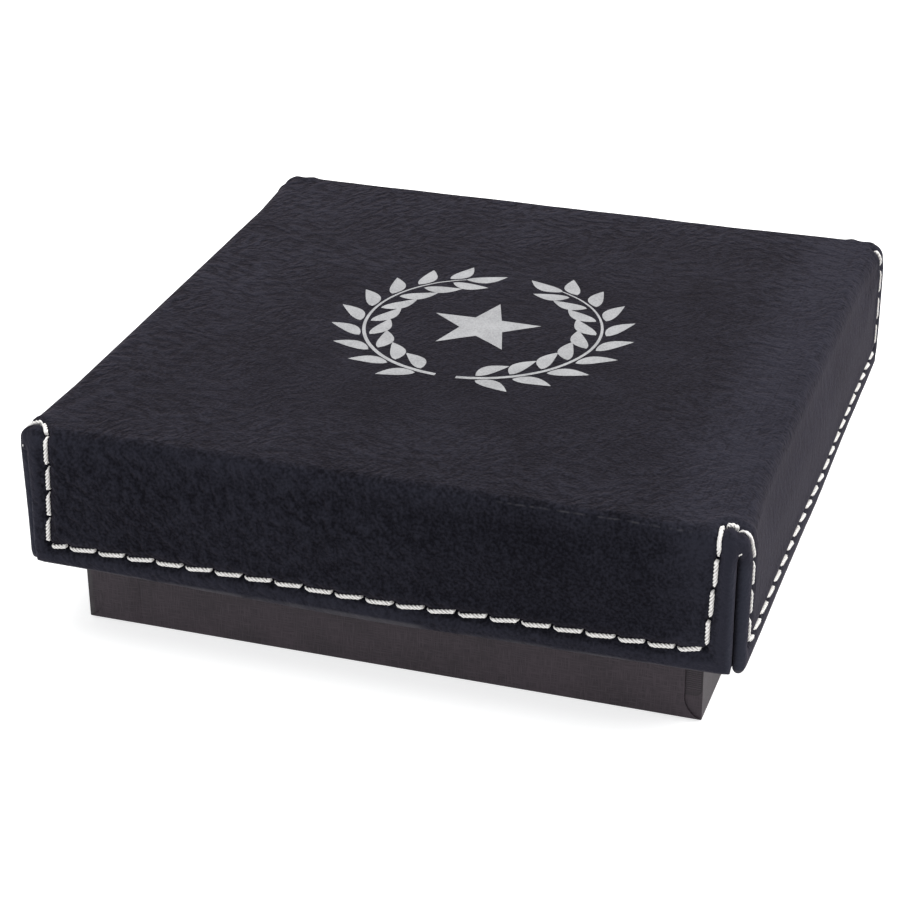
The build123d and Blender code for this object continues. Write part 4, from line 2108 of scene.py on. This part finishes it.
@dataclass
class Studio:
    """A pale floor, soft lamps and the photograph's camera."""

    eye: Triple = (0.101900, -0.317650, 0.184097)
    azimuth: float = 18.648
    elevation: float = 27.337
    roll: float = -0.543
    lens: float = 99.69
    lit_place: Triple = (0.0, 0.0, 0.02)
    floor_half: float = 3.0
    floor_colour: Colour = (0.80, 0.80, 0.80)
    floor_shade: Colour = (0.78, 0.78, 0.78)
    floor_glow: float = 0.62
    world_strength: float = 0.55

    def camera(self) -> None:
        """Puts the camera where the photograph was taken from."""
        turn, rise = math.radians(self.azimuth), math.radians(self.elevation)
        level = math.cos(rise)
        back = Vector((math.sin(turn) * level, -math.cos(turn) * level, math.sin(rise)))
        right = Vector((math.cos(turn), math.sin(turn), 0.0))
        up = back.cross(right)
        tilt = math.radians(self.roll)
        sideways = right * math.cos(tilt) + up * math.sin(tilt)
        upright = up * math.cos(tilt) - right * math.sin(tilt)
        data = bpy.data.cameras.new("camera")
        data.lens = self.lens
        data.sensor_width = 36.0
        data.clip_start = 0.01
        data.clip_end = 50.0
        camera = bpy.data.objects.new("camera", data)
        bpy.context.scene.collection.objects.link(camera)
        pose = Matrix((sideways, upright, back)).transposed().to_4x4()
        pose.translation = self.eye
        camera.matrix_world = pose
        bpy.context.scene.camera = camera

    def lamp(self, name: str, place: Triple, size: float, watts: float, tint: Colour = WHITE) -> None:
        """A square soft lamp that faces the box.

        Args:
            name: the lamp's name.
            place: where it hangs, in metres.
            size: the length of its side, in metres.
            watts: its power.
            tint: the colour of its light.
        """
        data = bpy.data.lights.new(name, "AREA")
        data.color = tint
        data.shape = "SQUARE"
        data.size = size
        data.energy = watts
        lamp = bpy.data.objects.new(name, data)
        bpy.context.scene.collection.objects.link(lamp)
        lamp.location = place
        lamp.rotation_mode = "QUATERNION"
        aim = Vector(self.lit_place) - Vector(place)
        lamp.rotation_quaternion = aim.to_track_quat("-Z", "Y")

    def lamps(self) -> None:
        """Hangs the lamps."""
        self.lamp("window", (0.75, 0.35, 0.75), 0.7, 9.0)
        self.lamp("ceiling", (-0.2, 0.1, 1.2), 1.0, 6.0)
        self.lamp("fill", (-0.5, -1.1, 0.5), 0.8, 3.8, (0.90, 0.95, 1.0))

    def seen_white(self, tree: bpy.types.NodeTree) -> Shade:
        """Tells what is seen from what gives light.

        Args:
            tree: the node tree to add the nodes to.

        Returns:
            1 for what the camera, glossy and clear surfaces see, and 0 for light itself.
        """
        camera = node(tree, "ShaderNodeLightPath", output="Is Camera Ray")
        glossy = node(tree, "ShaderNodeLightPath", output="Is Glossy Ray")
        clear = node(tree, "ShaderNodeLightPath", output="Is Transmission Ray")
        return camera.most(glossy).most(clear)

    def floor(self) -> None:
        """A large pale floor that keeps the box's shadow and is white beside it."""
        half = self.floor_half
        mesh = bpy.data.meshes.new("floor")
        corners = [(-half, -half, 0.0), (half, -half, 0.0), (half, half, 0.0), (-half, half, 0.0)]
        mesh.from_pydata(corners, [], [(0, 1, 2, 3)])
        floor = bpy.data.objects.new("floor", mesh)
        bpy.context.scene.collection.objects.link(floor)
        palette = Palette("pale_floor")
        grain = palette.noise(palette.place(), 30.0, 2.0)
        colour = palette.blend(grain * 0.1, self.floor_colour, self.floor_shade)
        shader = node(palette.tree, "ShaderNodeBsdfDiffuse", None, {"Color": colour})
        light = {"Color": WHITE, "Strength": self.floor_glow}
        glow = node(palette.tree, "ShaderNodeEmission", None, light)
        both = node(palette.tree, "ShaderNodeAddShader", None, {0: shader, 1: glow})
        seen = self.seen_white(palette.tree)
        mixed = node(palette.tree, "ShaderNodeMixShader", None, {0: seen, 1: shader, 2: both})
        node(palette.tree, "ShaderNodeOutputMaterial", None, {"Surface": mixed})
        mesh.materials.append(palette.material)

    def sky(self) -> None:
        """A white surround that lights the box softly."""
        world = bpy.data.worlds.new("surround")
        world.use_nodes = True
        world.node_tree.nodes.clear()
        tree = world.node_tree
        seen = self.seen_white(tree)
        strength = seen * (1.0 - self.world_strength) + self.world_strength
        surround = node(tree, "ShaderNodeBackground", None, {"Color": WHITE, "Strength": strength})
        node(tree, "ShaderNodeOutputWorld", None, {"Surface": surround})
        bpy.context.scene.world = world

    def build(self) -> None:
        """Sets the whole studio."""
        self.camera()
        self.lamps()
        self.floor()
        self.sky()
        bpy.context.scene.view_settings.view_transform = "Standard"


def main() -> None:
    """Builds the pieces, dresses the nodes and sets the studio."""
    Lid(Leatherette().build(), Thread().build(), Engraving().build()).build()
    Base(Foam().build()).build()
    BoardAndPaper(
        linen=LinenPaper().build(),
        board=Greyboard().build(),
        black_paper=PlainPaper("black_paper", (0.012, 0.012, 0.013), (0.028, 0.027, 0.029)).build(),
        kraft_paper=PlainPaper("kraft_paper", (0.30, 0.20, 0.12), (0.42, 0.30, 0.19)).build(),
    ).build()
    Studio().build()


if __name__ == "__main__":
    main()
